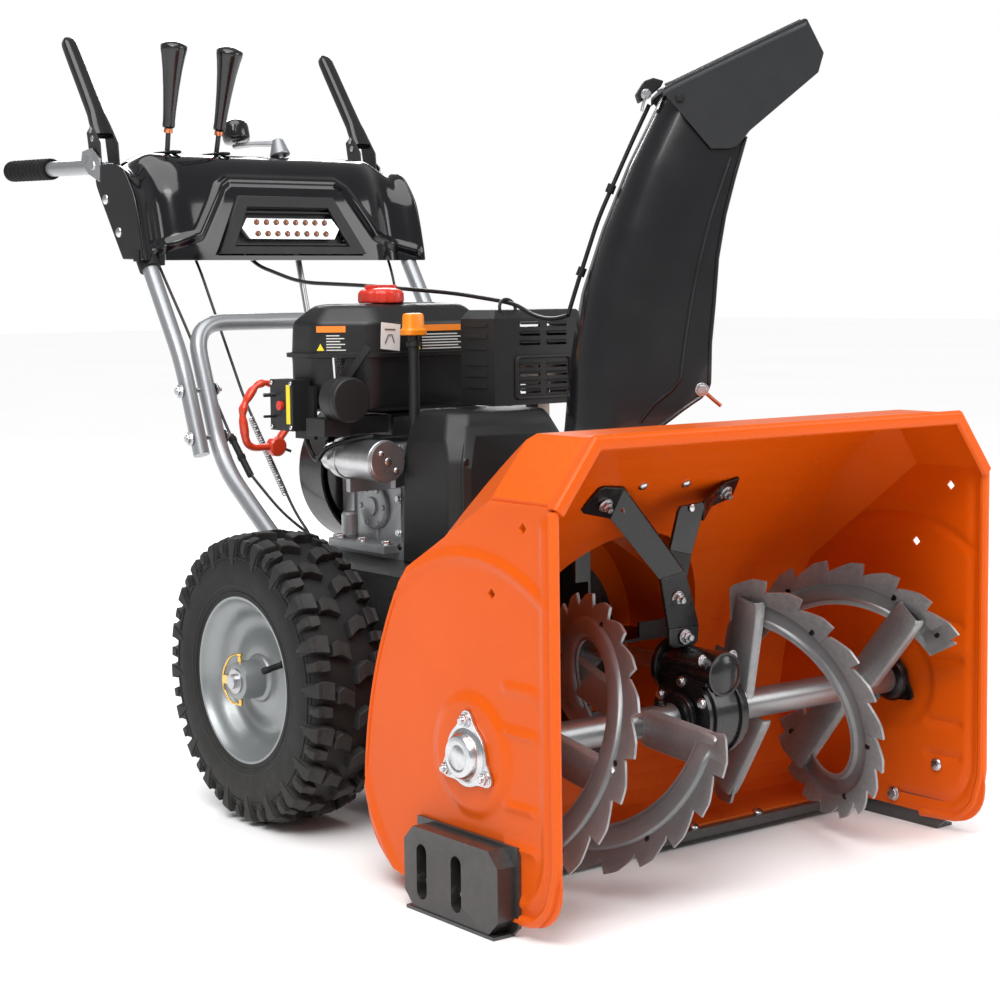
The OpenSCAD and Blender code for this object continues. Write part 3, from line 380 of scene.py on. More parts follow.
def hex_head(origin, axis, across=13, height=6, washer=0):
    """Hexagon head with a chamfered crown, on a washer if asked."""
    r = across / 2 / math.cos(math.pi / 6)
    parts = [lathe([(0, 0), (r, 0), (r, height * 0.8), (r * 0.88, height), (0, height)], origin, axis, 6)]
    if washer:
        parts.append(lathe([(0, 0), (washer, 0), (washer, 1.6), (washer - 0.6, 2.0), (0, 2.0)], origin,
                axis, 24))
    return join(*parts)


def dome_head(origin, axis, radius=9, height=4.5):
    profile = [(0, 0)]
    for i in range(7):
        a = math.pi / 2 * i / 6
        profile.append((radius * math.cos(a), height * math.sin(a) + 0.6))
    return lathe(profile, origin, axis, 20)


def arc(cx, cy, r, a, b, steps):
    return [(cx + r * math.cos(math.radians(a + (b - a) * i / steps)),
             cy + r * math.sin(math.radians(a + (b - a) * i / steps))) for i in range(steps + 1)]


def smooth_step(low, high, value):
    t = min(1.0, max(0.0, (value - low) / (high - low)))
    return t * t * (3 - 2 * t)


def bead(distance, width, height):
    """Round-backed ridge: height at distance 0, gone at width."""
    return height * 0.5 * (1 + math.cos(math.pi * min(1.0, abs(distance) / width)))


def segment_distance(p, a, b):
    ax, ay = b[0] - a[0], b[1] - a[1]
    t = max(0.0, min(1.0, ((p[0] - a[0]) * ax + (p[1] - a[1]) * ay) / (ax * ax + ay * ay)))
    return math.hypot(p[0] - a[0] - ax * t, p[1] - a[1] - ay * t)


def line_distance(p, points):
    return min(segment_distance(p, a, b) for a, b in zip(points, points[1:]))


def inside(p, polygon):
    hit = False
    for (ax, ay), (bx, by) in zip(polygon, polygon[1:] + polygon[:1]):
        if (ay > p[1]) != (by > p[1]) and p[0] < (bx - ax) * (p[1] - ay) / (by - ay) + ax:
            hit = not hit
    return hit


def sheet(outline, holes, pitch, place):
    """Flat plate cut to outline and holes, filled with a fine triangle net, each point put by place(a, b)."""
    points, edges = [], []
    for loop in [outline] + holes:
        base = len(points)
        dense = []
        for (ax, ay), (bx, by) in zip(loop, loop[1:] + loop[:1]):
            steps = max(1, int(math.hypot(bx - ax, by - ay) / (pitch * 1.2)))
            dense += [(ax + (bx - ax) * i / steps, ay + (by - ay) * i / steps) for i in range(steps)]
        points += dense
        edges += [(base + i, base + (i + 1) % len(dense)) for i in range(len(dense))]
    low_a, high_a = min(p[0] for p in outline), max(p[0] for p in outline)
    low_b, high_b = min(p[1] for p in outline), max(p[1] for p in outline)
    rows = int((high_b - low_b) / (pitch * 0.87))
    for j in range(1, rows):
        b = low_b + (high_b - low_b) * j / rows
        a = low_a + (0.25 + 0.5 * (j % 2)) * pitch
        while a < high_a:
            if inside((a, b), outline) and not any(inside((a, b), h) for h in holes):
                if min(line_distance((a, b), loop + loop[:1]) for loop in [outline] + holes) > pitch * 0.45:
                    points.append((a, b))
            a += pitch
    result = delaunay_2d_cdt([Vector(p) for p in points], edges, [], 0, 0.001)
    flat, triangles = result[0], result[2]
    faces = []
    for tri in triangles:
        centre = (sum(flat[i][0] for i in tri) / 3, sum(flat[i][1] for i in tri) / 3)
        if inside(centre, outline) and not any(inside(centre, h) for h in holes):
            faces.append(tuple(tri))
    return [Vector(place(p[0], p[1])) for p in flat], faces


# ---------------------------------------------------------------- pieces

def piece(name, shape, material, body="machine", replaces=(), smooth=35, bevel=0.0, segments=2,
          thick=0.0, offset=0.0, flip=False):
    mesh = bpy.data.meshes.new(name)
    mesh.from_pydata([at(*p) for p in shape[0]], [], [tuple(f) for f in shape[1]])
    tidy = bmesh.new()
    tidy.from_mesh(mesh)
    bmesh.ops.remove_doubles(tidy, verts=tidy.verts, dist=1e-6)
    bmesh.ops.recalc_face_normals(tidy, faces=tidy.faces)
    if flip:
        bmesh.ops.reverse_faces(tidy, faces=tidy.faces)
    tidy.to_mesh(mesh)
    tidy.free()
    for polygon in mesh.polygons:
        polygon.use_smooth = True
    mesh.materials.append(MATERIALS[material])
    obj = bpy.data.objects.new(name, mesh)
    bpy.context.collection.objects.link(obj)
    if thick:
        shell = obj.modifiers.new("sheet", "SOLIDIFY")
        shell.thickness = thick / 1000
        shell.offset = offset
    if bevel:
        soften(obj, bevel, segments, smooth)
    elif not thick:
        mesh.set_sharp_from_angle(angle=math.radians(smooth))
    else:
        split = obj.modifiers.new("edges", "EDGE_SPLIT")
        split.split_angle = math.radians(smooth)
    if body:
        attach(obj, body)
    if replaces:
        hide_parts(*replaces)
    return obj


def soften(obj, width, segments=2, angle=35):
    """Small round on every edge, with weighted normals."""
    bevel = obj.modifiers.new("round", "BEVEL")
    bevel.width = width / 1000
    bevel.segments = segments
    bevel.limit_method = "ANGLE"
    bevel.angle_limit = math.radians(angle)
    bevel.use_clamp_overlap = True
    weigh = obj.modifiers.new("normals", "WEIGHTED_NORMAL")
    weigh.keep_sharp = False
    weigh.weight = 60


def dress(node, material, bevel=0.0, angle=35):
    """Gives a CAD node its material, and softens its edges."""
    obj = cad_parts[node]
    obj.data.materials.clear()
    obj.data.materials.append(MATERIALS[material])
    for polygon in obj.data.polygons:
        polygon.use_smooth = bool(bevel)
    if bevel:
        soften(obj, bevel, 2, angle)


# ---------------------------------------------------------------- auger housing

WALL_C, WALL_R = (-867.0, 103.0), 539.0
HEEL_C, HEEL_R = (-418.0, 112.0), 90.0
BEVEL_W = 57.0


SIDE_OUTLINE = ([(-697.0, 498.0), (-586.0, 498.0)] + arc(*WALL_C, WALL_R, 34, 2, 28)
                + arc(*HEEL_C, HEEL_R, 0, -88, 10) + [(-660.0, 19.0)] + arc(-660, 67, 48, 270, 180, 8)[1:])
DIAMONDS = [(-645.0, 471.0), (-587.0, 391.0)]


def side_relief(y, z):
    """How far the side plate's pressed pattern stands out."""
    p = (y, z)
    out = 0.0
    front = line_distance(p, [(-684, 476), (-684, 90), (-672, 60), (-650, 42), (-560, 40)])
    out = max(out, bead(front, 9, 4.0))
    r = math.hypot(y - AUGER[0], z - AUGER[1])
    angle = math.degrees(math.atan2(z - AUGER[1], y - AUGER[0]))
    if 4 < angle < 128:
        out = max(out, bead(r - 232, 10, 4.0))
    if -70 < angle < 4:
        out = max(out, bead(r - 232, 10, 4.0) * smooth_step(-70, -40, angle))
    out = max(out, 5.0 * (1 - smooth_step(62, 76, r)))
    for level in (286, 236, 150, 104):
        out = max(out, bead(line_distance(p, [(-664, level), (-612, level)]), 9, 3.6))
    return out


def side_plate(s):
    holes = [[(y + 7, z), (y, z + 7), (y - 7, z), (y, z - 7)] for y, z in DIAMONDS]
    holes.append([(AUGER[0] + 20 * math.cos(a * math.pi / 8), AUGER[1] + 20 * math.sin(a * math.pi / 8))
                  for a in range(16)])

    def place(y, z):
        return (s * (HALF_W - 1.5 + side_relief(y, z)), y, z)
    return sheet(SIDE_OUTLINE, holes, 6.0, place)


def rolled_edge(points, radius=5.0, sides=10):
    return tube(corner_curve(points, 12, 4), radius, sides)


def build_housing():
    for node in ("auger_housing", "impeller_housing"):
        dress(node, "orange_paint")
        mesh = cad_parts[node].data
        mesh.set_sharp_from_angle(angle=math.radians(20))
    for s, name in ((1, "left"), (-1, "right")):
        piece("side_" + name, side_plate(s), "orange_paint",
              replaces=["side_plate_" + name], thick=3, smooth=40)
        x = s * HALF_W
        lip = rolled_edge([(x, -699, 494), (x, -700, 300), (x, -702, 90), (x, -690, 46), (x, -664, 23),
                           (x, -600, 19)], 6.5)
        piece("side_lip_" + name, lip, "orange_paint")
        seam = tube([(s * (HALF_W - 1), y, z) for y, z in arc(*WALL_C, WALL_R + 1, 30, 3, 30)], 3.2, 8)
        piece("side_seam_" + name, seam, "orange_paint")
    top = INTAKE_H
    w = HALF_W - BEVEL_W
    band = []
    for x, z in ((-HALF_W - 2, 496), (-w, top), (w, top), (HALF_W + 2, 496)):
        band.append((x, z))
    rings = []
    for i, (x, z) in enumerate(band):
        n = Vector((0, 0, 1)) if 0 < i < 3 else Vector(((-1 if i == 0 else 1) * 0.79, 0, 0.61))
        if 0 < i < 3:
            n = (Vector((0, 0, 1)) + Vector(((-1 if i == 1 else 1) * 0.79, 0, 0.61))).normalized() * 1.12
        here = Vector((x, 0, z))
        rings.append([here + n * b + Vector((0, a, 0)) for a, b in
                      ((-690, 1.5), (-703, 3.5), (-708, 1), (-709, -4), (-708, -12), (-704, -15), (-701, -12),
                       (-702, -2), (-696, -1.5), (-690, -1.5))])
    piece("top_lip", loft(rings), "orange_paint", bevel=1.2, smooth=30)
    dress("scraper_bar", "black_paint", 0.8)
    bolts = []
    for i in range(6):
        bolts.append(dome_head((-300 + 120 * i, -470, 24), (0, -0.4, 0.9), 8, 3.5))
    for x, y, z in ((-49, -493, 487), (27, -491, 485)):
        bolts.append(dome_head((x, y, z), (0, -0.7, -0.7), 7, 4))
    for x in (-300, 300):
        bolts.append(dome_head((x, -560, 549), (0, -0.4, -0.9), 6, 3))
    for s in (-1, 1):
        bolts.append(dome_head((s * (HALF_W - 4), -628, 90), (-s, 0, 0), 9, 4))
        bolts.append(dome_head((s * (HALF_W - 4), -470, 330), (-s, 0, 0), 6, 3))
    piece("housing_bolts", join(*bolts), "zinc")


build_housing()


# ---------------------------------------------------------------- bearings, skids, gearbox

def build_bearings():
    for s, name in ((1, "left"), (-1, "right")):
        base = Vector((s * (HALF_W + 5.4), *AUGER))
        out = Vector((s, 0, 0))
        lobes = []
        for i in range(72):
            a = 2 * math.pi * i / 72
            near = min(abs((math.degrees(a) - b + 180) % 360 - 180) for b in (0, 120, 240))
            r = 37 + 17 * math.exp(-(near / 17) ** 2)
            lobes.append((r * math.sin(a), r * math.cos(a)))
        plate = prism([(p[0], p[1]) for p in lobes], base, (0, 1, 0), (0, 0, 1), 4.5 * (1 if s > 0 else -1))
        cup = lathe([(34, 4), (31, 5), (27.5, 8), (26.5, 13), (24, 16.5), (18, 17.5), (15, 16), (13, 16.5),
                     (9, 18), (0, 18.2)], base, out, 40)
        piece("bearing_" + name, join(plate, cup), "zinc",
              replaces=["bearing_flanges"] if s > 0 else (), bevel=0.7)
        back = prism([(p[0] * 0.85, p[1] * 0.85) for p in lobes], base - out * 14, (0, 1, 0), (0, 0, 1),
                3.5 * s)
        hub = lathe([(30, -14), (28, -20), (22, -24), (14, -24), (13.2, -23)], base, out, 32)
        piece("bearing_back_" + name, join(back, hub), "gear_black", bevel=0.6)
        heads = []
        for a in (0, 120, 240):
            spot = base + Vector((s * 4, 42 * math.sin(math.radians(a)), 42 * math.cos(math.radians(a))))
            heads.append(hex_head(spot, out, 13, 6, 9))
            heads.append(lathe([(0, 0), (4, 0), (4, 9), (3.2, 10), (0, 10)], spot, out, 16))
        piece("bearing_bolts_" + name, join(*heads), "zinc", bevel=0.3)


def build_skids():
    for name in ("skid_shoe_left", "skid_shoe_right"):
        dress(name, "black_paint", 1.6)
    heads = []
    for s in (-1, 1):
        for y in (-485, -553):
            spot = Vector((s * (HALF_W + 6.4), y, 36))
            heads.append(lathe([(0, 0), (9.4, 0), (9.4, 1.4), (0, 1.8)], spot, (s, 0, 0), 28))
            heads.append(hex_head(spot + Vector((s * 1.5, 0, 0)), (s, 0, 0), 14, 7))
            heads.append(lathe([(0, 0), (4.6, 0), (4.6, 14), (3.8, 15), (0, 15)], spot, (s, 0, 0), 16))
            inner = Vector((s * (HALF_W - 3.4), y, 36))
            heads.append(hex_head(inner, (-s, 0, 0), 15, 6, 10))
    piece("skid_bolts", join(*heads), "zinc", replaces=["fasteners"], bevel=0.3)


def plate(corners, thick=5.0):
    """Flat bar between corner points."""
    points = [Vector(c) for c in corners]
    normal = (points[1] - points[0]).cross(points[2] - points[1]).normalized()
    return loft([[p - normal * thick / 2 for p in points], [p + normal * thick / 2 for p in points]])


def build_gearbox():
    dress("gearbox_case", "gear_black", 1.5)
    fold, top = (-84, -470, 447), (-85, -498, 488)
    left = join(plate([fold, top, (5, -512, 375), (-38, -512, 369)]),
                plate([(-132, -469, 462), (-127, -498, 489), (-120, -500, 492), top, fold, (-128, -468,
                        457)]),
                plate([(-38, -512, 369), (5, -512, 375), (16, -525, 306), (-36, -525, 306)]),
                plate([(-36, -525, 306), (16, -525, 306), (14, -525, 286), (8, -525, 281), (-28, -525, 281),
                       (-34, -525, 286)]))
    right = join(plate([(0, -504, 452), (4, -504, 458), (42, -504, 461), (46, -504, 456), (23, -504, 394),
                        (-15, -504, 403)]),
                 plate([(-15, -504, 403), (23, -504, 394), (12, -507, 366), (-10, -507, 366)]),
                 plate([(44, -504, 436), (44, -504, 461), (92, -494, 482), (90, -471, 450)]),
                 plate([(90, -471, 450), (92, -494, 482), (116, -497, 488), (126, -472, 459)]))
    piece("brace", join(left, right), "gear_black", replaces=["brace_straps"], bevel=1.0)
    bolts = []
    for x, y, z, axis in ((-104, -484, 466, (0, -0.82, -0.57)), (104, -484, 468, (0, -0.82, -0.57)),
                          (-14, -519, 343, (0, -0.98, -0.19)), (-10, -529, 294, (0, -1, 0))):
        bolts.append(hex_head((x, y, z), axis, 13, 7, 10))
        bolts.append(lathe([(0, 0), (4, 0), (4, 13), (0, 13)], (x, y, z), axis, 12))
    for x, z in ((-78, 458), (22, 455)):
        bolts.append(lathe([(0, 0), (5, 0), (5, 1), (3, 1.6), (0, 1.6)],
                           (x, -492 if x < 0 else -508, z), (-0.7, -0.6, -0.3) if x < 0 else (0, -1, 0), 16))
    for x, y, z in ((-26, -577, 232), (26, -577, 232), (-26, -577, 272), (26, -577, 272), (0, -592, 262)):
        bolts.append(hex_head((x, y, z), (0, -1, 0), 10, 5, 7.5))
    for a in range(6):
        angle = math.radians(60 * a + 30)
        for s in (-1, 1):
            bolts.append(hex_head((s * 34, AUGER[0] + 44 * math.cos(angle), AUGER[1] + 44 * math.sin(angle)),
                                  (s, 0, 0), 10, 5, 7))
    piece("gearbox_bolts", join(*bolts), "zinc", bevel=0.3)
    ribs = []
    for s in (-1, 1):
        ribs.append(lathe([(54, 0), (56, 1), (56, 7), (54, 8), (46, 8), (46, 0)],
                          (s * 22 - 4, *AUGER), (1, 0, 0), 56))
        ribs.append(lathe([(27, 0), (31, 2), (31, 9), (27, 12), (20, 12), (20, 0)],
                          (s * 40 - 6, *AUGER), (1, 0, 0), 40))
    ribs.append(lathe([(0, -3), (14, -3), (22, 0), (27, 5), (28, 12), (20, 12)], (0, -595, DRUM_Z),
                      (0, 1, 0), 40))
    ribs.append(lathe([(28, 0), (36, 2), (36, 10), (28, 12), (20, 12), (20, 0)], (0, -502, DRUM_Z),
                      (0, 1, 0), 40))
    for z in (214, 240, 262):
        ribs.append(block((-30, -588, z), (30, -508, z + 5)))
    piece("gearbox_ribs", join(*ribs), "gear_black", bevel=0.8)


build_bearings()
build_skids()
build_gearbox()


# ---------------------------------------------------------------- augers and impeller

PITCH = 0.97
BAND_IN = 112.0
HOLE_R = 143.0


def ribbon(s, x0, a, b, teeth=17.0, hand=1):
    """Serrated spiral band with a pressed rib. Angles fall from a to b; 0 is the front and 90 the top."""
    span = abs(b - a)
    count = int(span / 1.5)
    angles = [span * i / count for i in range(count + 1)]
    drops = [k * teeth for k in range(1, int(span / teeth) + 1)]
    angles += [d - 0.25 for d in drops] + [d + 0.25 for d in drops]
    angles = sorted(set(round(v, 3) for v in angles if 0 <= v <= span))
    rings = []
    for done in angles:
        theta = math.radians(a - done)
        share = (done % teeth) / teeth
        if share < 0.62:
            tip = 156 + 13.5 * share / 0.62
        elif share < 0.97:
            tip = 169.5 + 1.8 * (share - 0.62) / 0.35
        else:
            tip = 171.3
        if share < 0.02:
            tip = 153.5
        ends = smooth_step(6, 14, done) * smooth_step(6, 14, span - done)
        ring = []
        for r, lift in ((BAND_IN, 0.0), (BAND_IN + 5, 0.0), (BAND_IN + 7, 4.6), (BAND_IN + 9, 5.4),
                        (BAND_IN + 25, 5.4), (BAND_IN + 27, 4.6), (BAND_IN + 29, 0.0), (tip, 0.0)):
            x = s * (x0 + PITCH * done) + lift * ends * hand
            ring.append(Vector((x, AUGER[0] - r * math.cos(theta), AUGER[1] + r * math.sin(theta))))
        rings.append(ring)
    return loft(rings, around=False)


def channel_arm(x, angle, lean=0.0):
    """Pressed channel from the sleeve out to a band."""
    theta = math.radians(angle)
    out = Vector((0, -math.cos(theta), math.sin(theta)))
    side = Vector((0, math.sin(theta), math.cos(theta)))
    centre = Vector((x, *AUGER))
    rings = []
    for r, w in ((17, 20), (24, 21), (60, 21), (118, 21), (140, 20), (144, 17)):
        shift = Vector((lean * (r - 17) / 126, 0, 0))
        rings.append([centre + out * r + side * a + Vector((b, 0, 0)) + shift for a, b in
                      ((-w, 12), (-w, 2), (-w + 2, 0), (w - 2, 0), (w, 2), (w, 12))])
    return loft(rings, around=False)


def band_hole_shade(s, x0, a, marks):
    """Painted shade for the bolt holes through the band: small dark sleeves stand where the holes are."""
    parts = []
    for done in marks:
        theta = math.radians(a - done)
        x = s * (x0 + PITCH * done)
        spot = (x - 2.6, AUGER[0] - HOLE_R * math.cos(theta), AUGER[1] + HOLE_R * math.sin(theta))
        parts.append(lathe([(0, 0), (4.2, 0), (4.2, 5.2), (0, 5.2)], spot, (1, 0, 0), 14))
    return join(*parts)


def build_augers():
    right = join(ribbon(-1, 84, 190, -55, hand=-1), ribbon(-1, 108, 5, -205, hand=-1))
    left = join(ribbon(1, 56, 92, -154), ribbon(1, 105, 250, 26))
    piece("auger_bands_right", right, "auger_grey", "auger", ["auger_flights_right"],
            thick=3.6,
          smooth=50)
    piece("auger_bands_left", left, "auger_grey", "auger", ["auger_flights_left"], thick=3.6,
          smooth=50)
    arms = []
    for i in (30, 200):
        arms.append(channel_arm(-84 - PITCH * i + 4, 190 - i))
    for i in (10, 180):
        arms.append(channel_arm(-108 - PITCH * i + 4, 5 - i))
    for i in (12, 220):
        arms.append(channel_arm(56 + PITCH * i - 12, 92 - i))
    for i in (10, 200):
        arms.append(channel_arm(105 + PITCH * i - 12, 250 - i))
    piece("auger_arms", join(*arms), "auger_grey", "auger", thick=3.6, smooth=50)
    sleeves = []
    for lo, hi in ((-347, -52), (52, 347)):
        sleeves.append(lathe([(12.6, 0), (19, 0), (19.2, 2), (19.2, hi - lo - 2), (19, hi - lo), (12.6,
                hi - lo)],
                             (lo, *AUGER), (1, 0, 0), 40))
    piece("auger_sleeves", join(*sleeves), "shaft_silver", "auger", bevel=0.4)
    pins = []
    for x in (-70, 70, -330, 330):
        pins.append(hex_head((x, AUGER[0], AUGER[1] + 19), (0, 0, 1), 10, 5, 8))
        pins.append(hex_head((x, AUGER[0], AUGER[1] - 19), (0, 0, -1), 10, 6))
    # the dark sleeves in the band holes are painted shade, not parts
    for s, x0, a, marks in ((-1, 84, 190, (40, 115, 190, 236)), (-1, 108, 5, (60, 130, 170)),
                            (1, 56, 92, (45, 110, 160, 236)), (1, 105, 250, (60, 130, 188, 216))):
        pins.append(band_hole_shade(s, x0, a, marks))
    piece("auger_pins_and_hole_shade", join(*pins), "gear_black", "auger")
    dress("auger_shaft", "shaft_silver", 0.4)
    dress("worm_wheel", "bronze", 0.3)
    dress("impeller_shaft", "steel")
    dress("impeller", "black_paint", 0.8)


build_augers()


# ---------------------------------------------------------------- wheels

def tyre_profile():
    """Cross-section of the casing: (radius, offset along the axle)."""
    half = [(112, 50), (116, 56), (124, 57), (135, 59), (150, 60.5), (165, 59.5), (178, 55), (185, 48),
            (188.5, 36), (190, 20), (190.5, 0)]
    return [(r, -o) for r, o in half] + [(r, o) for r, o in reversed(half[:-1])]


def tread_lug(angle, shape, side, skew=0.0, low=185.0, high=202.6):
    """One rubber block: shape is [(offset along the axle, degrees round)] of its outline."""
    rings = []
    for r, grow in ((low - 6, 1.10), (low, 1.06), (high - 2.2, 1.0), (high, 0.93)):
        mid_o = sum(p[0] for p in shape) / len(shape)
        mid_a = sum(p[1] for p in shape) / len(shape)
        ring = []
        for o, a in shape:
            oo = mid_o + (o - mid_o) * grow
            aa = mid_a + (a - mid_a) * grow
            crown = r - 13.0 * max(0.0, (abs(oo) - 26) / 34) ** 2
            t = math.radians(angle + aa + skew * abs(oo))
            ring.append((crown, side * oo, t))
        rings.append(ring)
    return [[(r * math.cos(t), o, r * math.sin(t)) for r, o, t in ring] for ring in rings]


def build_tyre(s, name):
    centre = Vector((s * 292, 0, AXLE_Z))

    def place(p):
        return centre + Vector((p[1], p[0], p[2]))
    sides = 144
    profile = tyre_profile()
    rings = []
    for k in range(sides):
        t = 2 * math.pi * k / sides
        rings.append([place((r * math.cos(t), o, r * math.sin(t))) for r, o in profile])
    casing = loft(rings, closed="loop", around=False)
    parts = [casing]
    for r, o, wire in ((123, 56.6, 1.6), (131, 58.2, 1.0), (170, 58.4, 1.4), (176, 56.4, 1.1)):
        for side in (-1, 1):
            loop = [place((r * math.cos(2 * math.pi * k / 96), side * o, r * math.sin(2 * math.pi * k / 96)))
                    for k in range(96)]
            rings = []
            for k in range(96):
                out = (loop[k] - centre - Vector((side * o, 0, 0))).normalized()
                rings.append([loop[k] + out * wire * math.cos(q * math.pi / 3)
                              + Vector((side, 0, 0)) * wire * math.sin(q * math.pi / 3) for q in range(6)])
            parts.append(loft(rings, closed="loop"))
    count = 20
    step = 360 / count
    for k in range(count):
        for side in (-1, 1):
            base = k * step + (step / 2 if side > 0 else 0)
            centre_lug = [(3, -2.0), (20, -4.6), (30, -3.0), (30, 1.6), (18, 1.6), (3, 4.2)]
            shoulder = [(33, -6.6), (46, -7.6), (58, -6.8), (58.5, -1.2), (47, -0.6), (34, 0.4)]
            hook = [(36, 3.0), (48, 2.2), (57, 2.6), (57, 6.6), (46, 7.0), (36, 6.8)]
            for outline, top in ((centre_lug, 202.6), (shoulder, 202.8), (hook, 200.6)):
                parts.append(loft([[place(p) for p in ring] for ring in tread_lug(base, outline, side,
                        high=top)]))
            # the shoulder block runs down the side wall
            flank = []
            for r, o, a0, a1 in ((196, 56.2, -6.9, -1.1), (190, 60.0, -6.7, -1.3), (180, 60.6, -6.3, -1.9),
                                 (168, 61.0, -5.4, -2.9), (160, 60.6, -4.8, -3.6)):
                ring = []
                for rr, oo, aa in ((r, o, a0), (r, o, a1), (r, o - 8, a1), (r, o - 8, a0)):
                    t = math.radians(base + aa)
                    ring.append(place((rr * math.cos(t), side * oo, rr * math.sin(t))))
                flank.append(ring)
            parts.append(loft(flank))
            flank2 = []
            for r, o, a0, a1 in ((195, 56.0, 2.8, 6.4), (187, 59.6, 3.0, 6.2), (178, 59.8, 3.6, 5.8)):
                ring = []
                for rr, oo, aa in ((r, o, a0), (r, o, a1), (r, o - 8, a1), (r, o - 8, a0)):
                    t = math.radians(base + aa)
                    ring.append(place((rr * math.cos(t), side * oo, rr * math.sin(t))))
                flank2.append(ring)
            parts.append(loft(flank2))
    piece("tyre_" + name, join(*parts), "tyre_black", "wheels", ["tyres"] if s > 0 else (), bevel=0.9,
          segments=1, smooth=38)


def build_rim(s, name):
    centre = Vector((s * 292, 0, AXLE_Z))
    out = (s, 0, 0)
    profile = [(96, -48), (112, -50), (114.5, -53), (116, -52), (114.5, -47), (110, -44), (101, -34),
            (96, -20),
               (96, 22), (101, 34), (109, 44), (113, 47), (115.5, 50), (117, 53.5), (115.8, 56), (112.5,
                       55.5),
               (110, 51), (107.5, 47), (102, 43), (97, 39), (93, 33), (90, 26), (84, 19.5), (76, 17),
               (66, 18.5), (56, 23), (48, 26), (40, 27), (34, 27), (33, 30), (31, 32), (27, 33), (26.5, 60),
               (25.5, 64), (22, 65), (11, 65), (10.1, 64), (10.1, -30), (26, -30), (26, 16), (40, 21),
                       (60, 16),
               (80, 11), (90, 16)]
    rim = lathe(profile, centre, out, 96)
    # drop the caps that lathe puts on an open profile
    points, faces = rim
    faces = [f for f in faces if len(f) == 4]
    last = len(profile) - 1
    faces += [(last * 96 + k, last * 96 + (k + 1) % 96, (k + 1) % 96, k) for k in range(96)]
    piece("rim_" + name, (points, faces), "rim_silver", "wheels", ["rims"] if s > 0 else (),
          smooth=40)
    valve_at = centre + Vector((s * 36, -52 * 1.5, 52 * 0.6))
    valve = lathe([(5.5, -6), (5.5, 2), (4.4, 5), (4.2, 20), (4.8, 21), (4.8, 30), (3.6, 32), (0, 32)],
            valve_at,
                  (s * 0.92, 0.25, -0.25), 20)
    piece("valve_" + name, valve, "rubber_black", "wheels")
    washers = join(lathe([(10.2, 0), (17, 0), (17, 2.4), (10.2, 2.4)], centre + Vector((s * 65.2, 0, 0)),
            out, 32),
                   lathe([(0, 0), (9.6, 0), (9.6, 1.2), (8.4, 2.4), (0, 2.4)],
                         centre + Vector((s * 72, 0, 0)), out, 32))
    piece("axle_end_" + name, washers, "steel", "wheels", bevel=0.3)
    # spring clip pin through the hub
    x = centre.x + s * 58
    pin = lathe([(0, 0), (3.2, 1), (3.2, 70), (4.5, 71), (4.5, 74), (0, 74)], (x, 0, AXLE_Z - 36), (0, 0,
            1), 18)
    wire_points = [(x, 4, AXLE_Z + 37), (x + s * 8, 12, AXLE_Z + 34), (x + s * 9, 30, AXLE_Z + 12),
                   (x + s * 9, 31, AXLE_Z - 14), (x + s * 8, 14, AXLE_Z - 32), (x, 2, AXLE_Z - 34)]
    clip = tube(corner_curve(wire_points, 10, 5), 1.7, 10)
    tab = prism([(-9, -6), (9, -6), (9, 6), (-9, 6)], (x + s * 9, 22, AXLE_Z), (0, 1, 0), (0, 0, 1), s * 2)
    piece("hub_clip_" + name, join(pin, clip, tab), "pin_gold", "wheels",
          ["hub_pins"] if s > 0 else (), bevel=0.2)


for wheel_side, wheel_name in ((1, "left"), (-1, "right")):
    build_tyre(wheel_side, wheel_name)
    build_rim(wheel_side, wheel_name)
dress("axle", "steel", 0.3)


# ---------------------------------------------------------------- chute and hood

CHUTE_AXIS = Vector((60, -335, 0))
CHUTE_TURN = math.radians(54)
REACH = Vector((math.sin(CHUTE_TURN), -math.cos(CHUTE_TURN), 0))
ACROSS = Vector((math.cos(CHUTE_TURN), math.sin(CHUTE_TURN), 0))


def in_chute(s, w, z):
    return CHUTE_AXIS + REACH * s + ACROSS * w + Vector((0, 0, z))


# section by section: height at the back, back reach, front reach, drop from back to front, half width, and
# how round its front and back halves are
CHUTE_STATIONS = [
    (454, -86, 86, 0, 86, 1.0, 1.0), (498, -87, 86, 0, 86, 1.0, 1.0), (550, -81, 100, 0, 84, 0.35, 0.8),
    (640, -73, 132, 0, 80, 0.25, 0.72), (730, -57, 148, 4, 76, 0.22, 0.68), (815, -29, 164, 15, 71, 0.22,
            0.66),
    (900, 6, 188, 32, 66, 0.22, 0.66), (988, 50, 214, 91, 62, 0.22, 0.66)]
FRONT_EDGE = [(454, 120), (498, 120), (508, 70), (518, 36), (534, 8), (561, 47), (579, 71), (595, 96),
        (606, 103),
              (661, 104), (711, 109), (773, 114), (829, 124), (878, 137), (932, 153), (990, 170)]
CREASE = [(555, 8), (583, 30), (600, 52), (614, 65), (661, 71), (711, 79), (773, 92), (829, 107), (878, 124),
          (906, 134)]


def along(marks, level):
    """Value of a piecewise-linear list of (height, value) at a height."""
    for a, b in zip(marks, marks[1:]):
        if level <= b[0]:
            return a[1] + (b[1] - a[1]) * (level - a[0]) / (b[0] - a[0])
    return marks[-1][1]


def chute_station(level):
    rows = CHUTE_STATIONS
    for a, b in zip(rows, rows[1:]):
        if level <= b[0]:
            t = (level - a[0]) / (b[0] - a[0])
            return [p + (q - p) * t for p, q in zip(a, b)]
    return list(rows[-1])


def chute_height(station, reach):
    level, back, front, drop = station[:4]
    return level - drop * (reach - back) / (front - back)


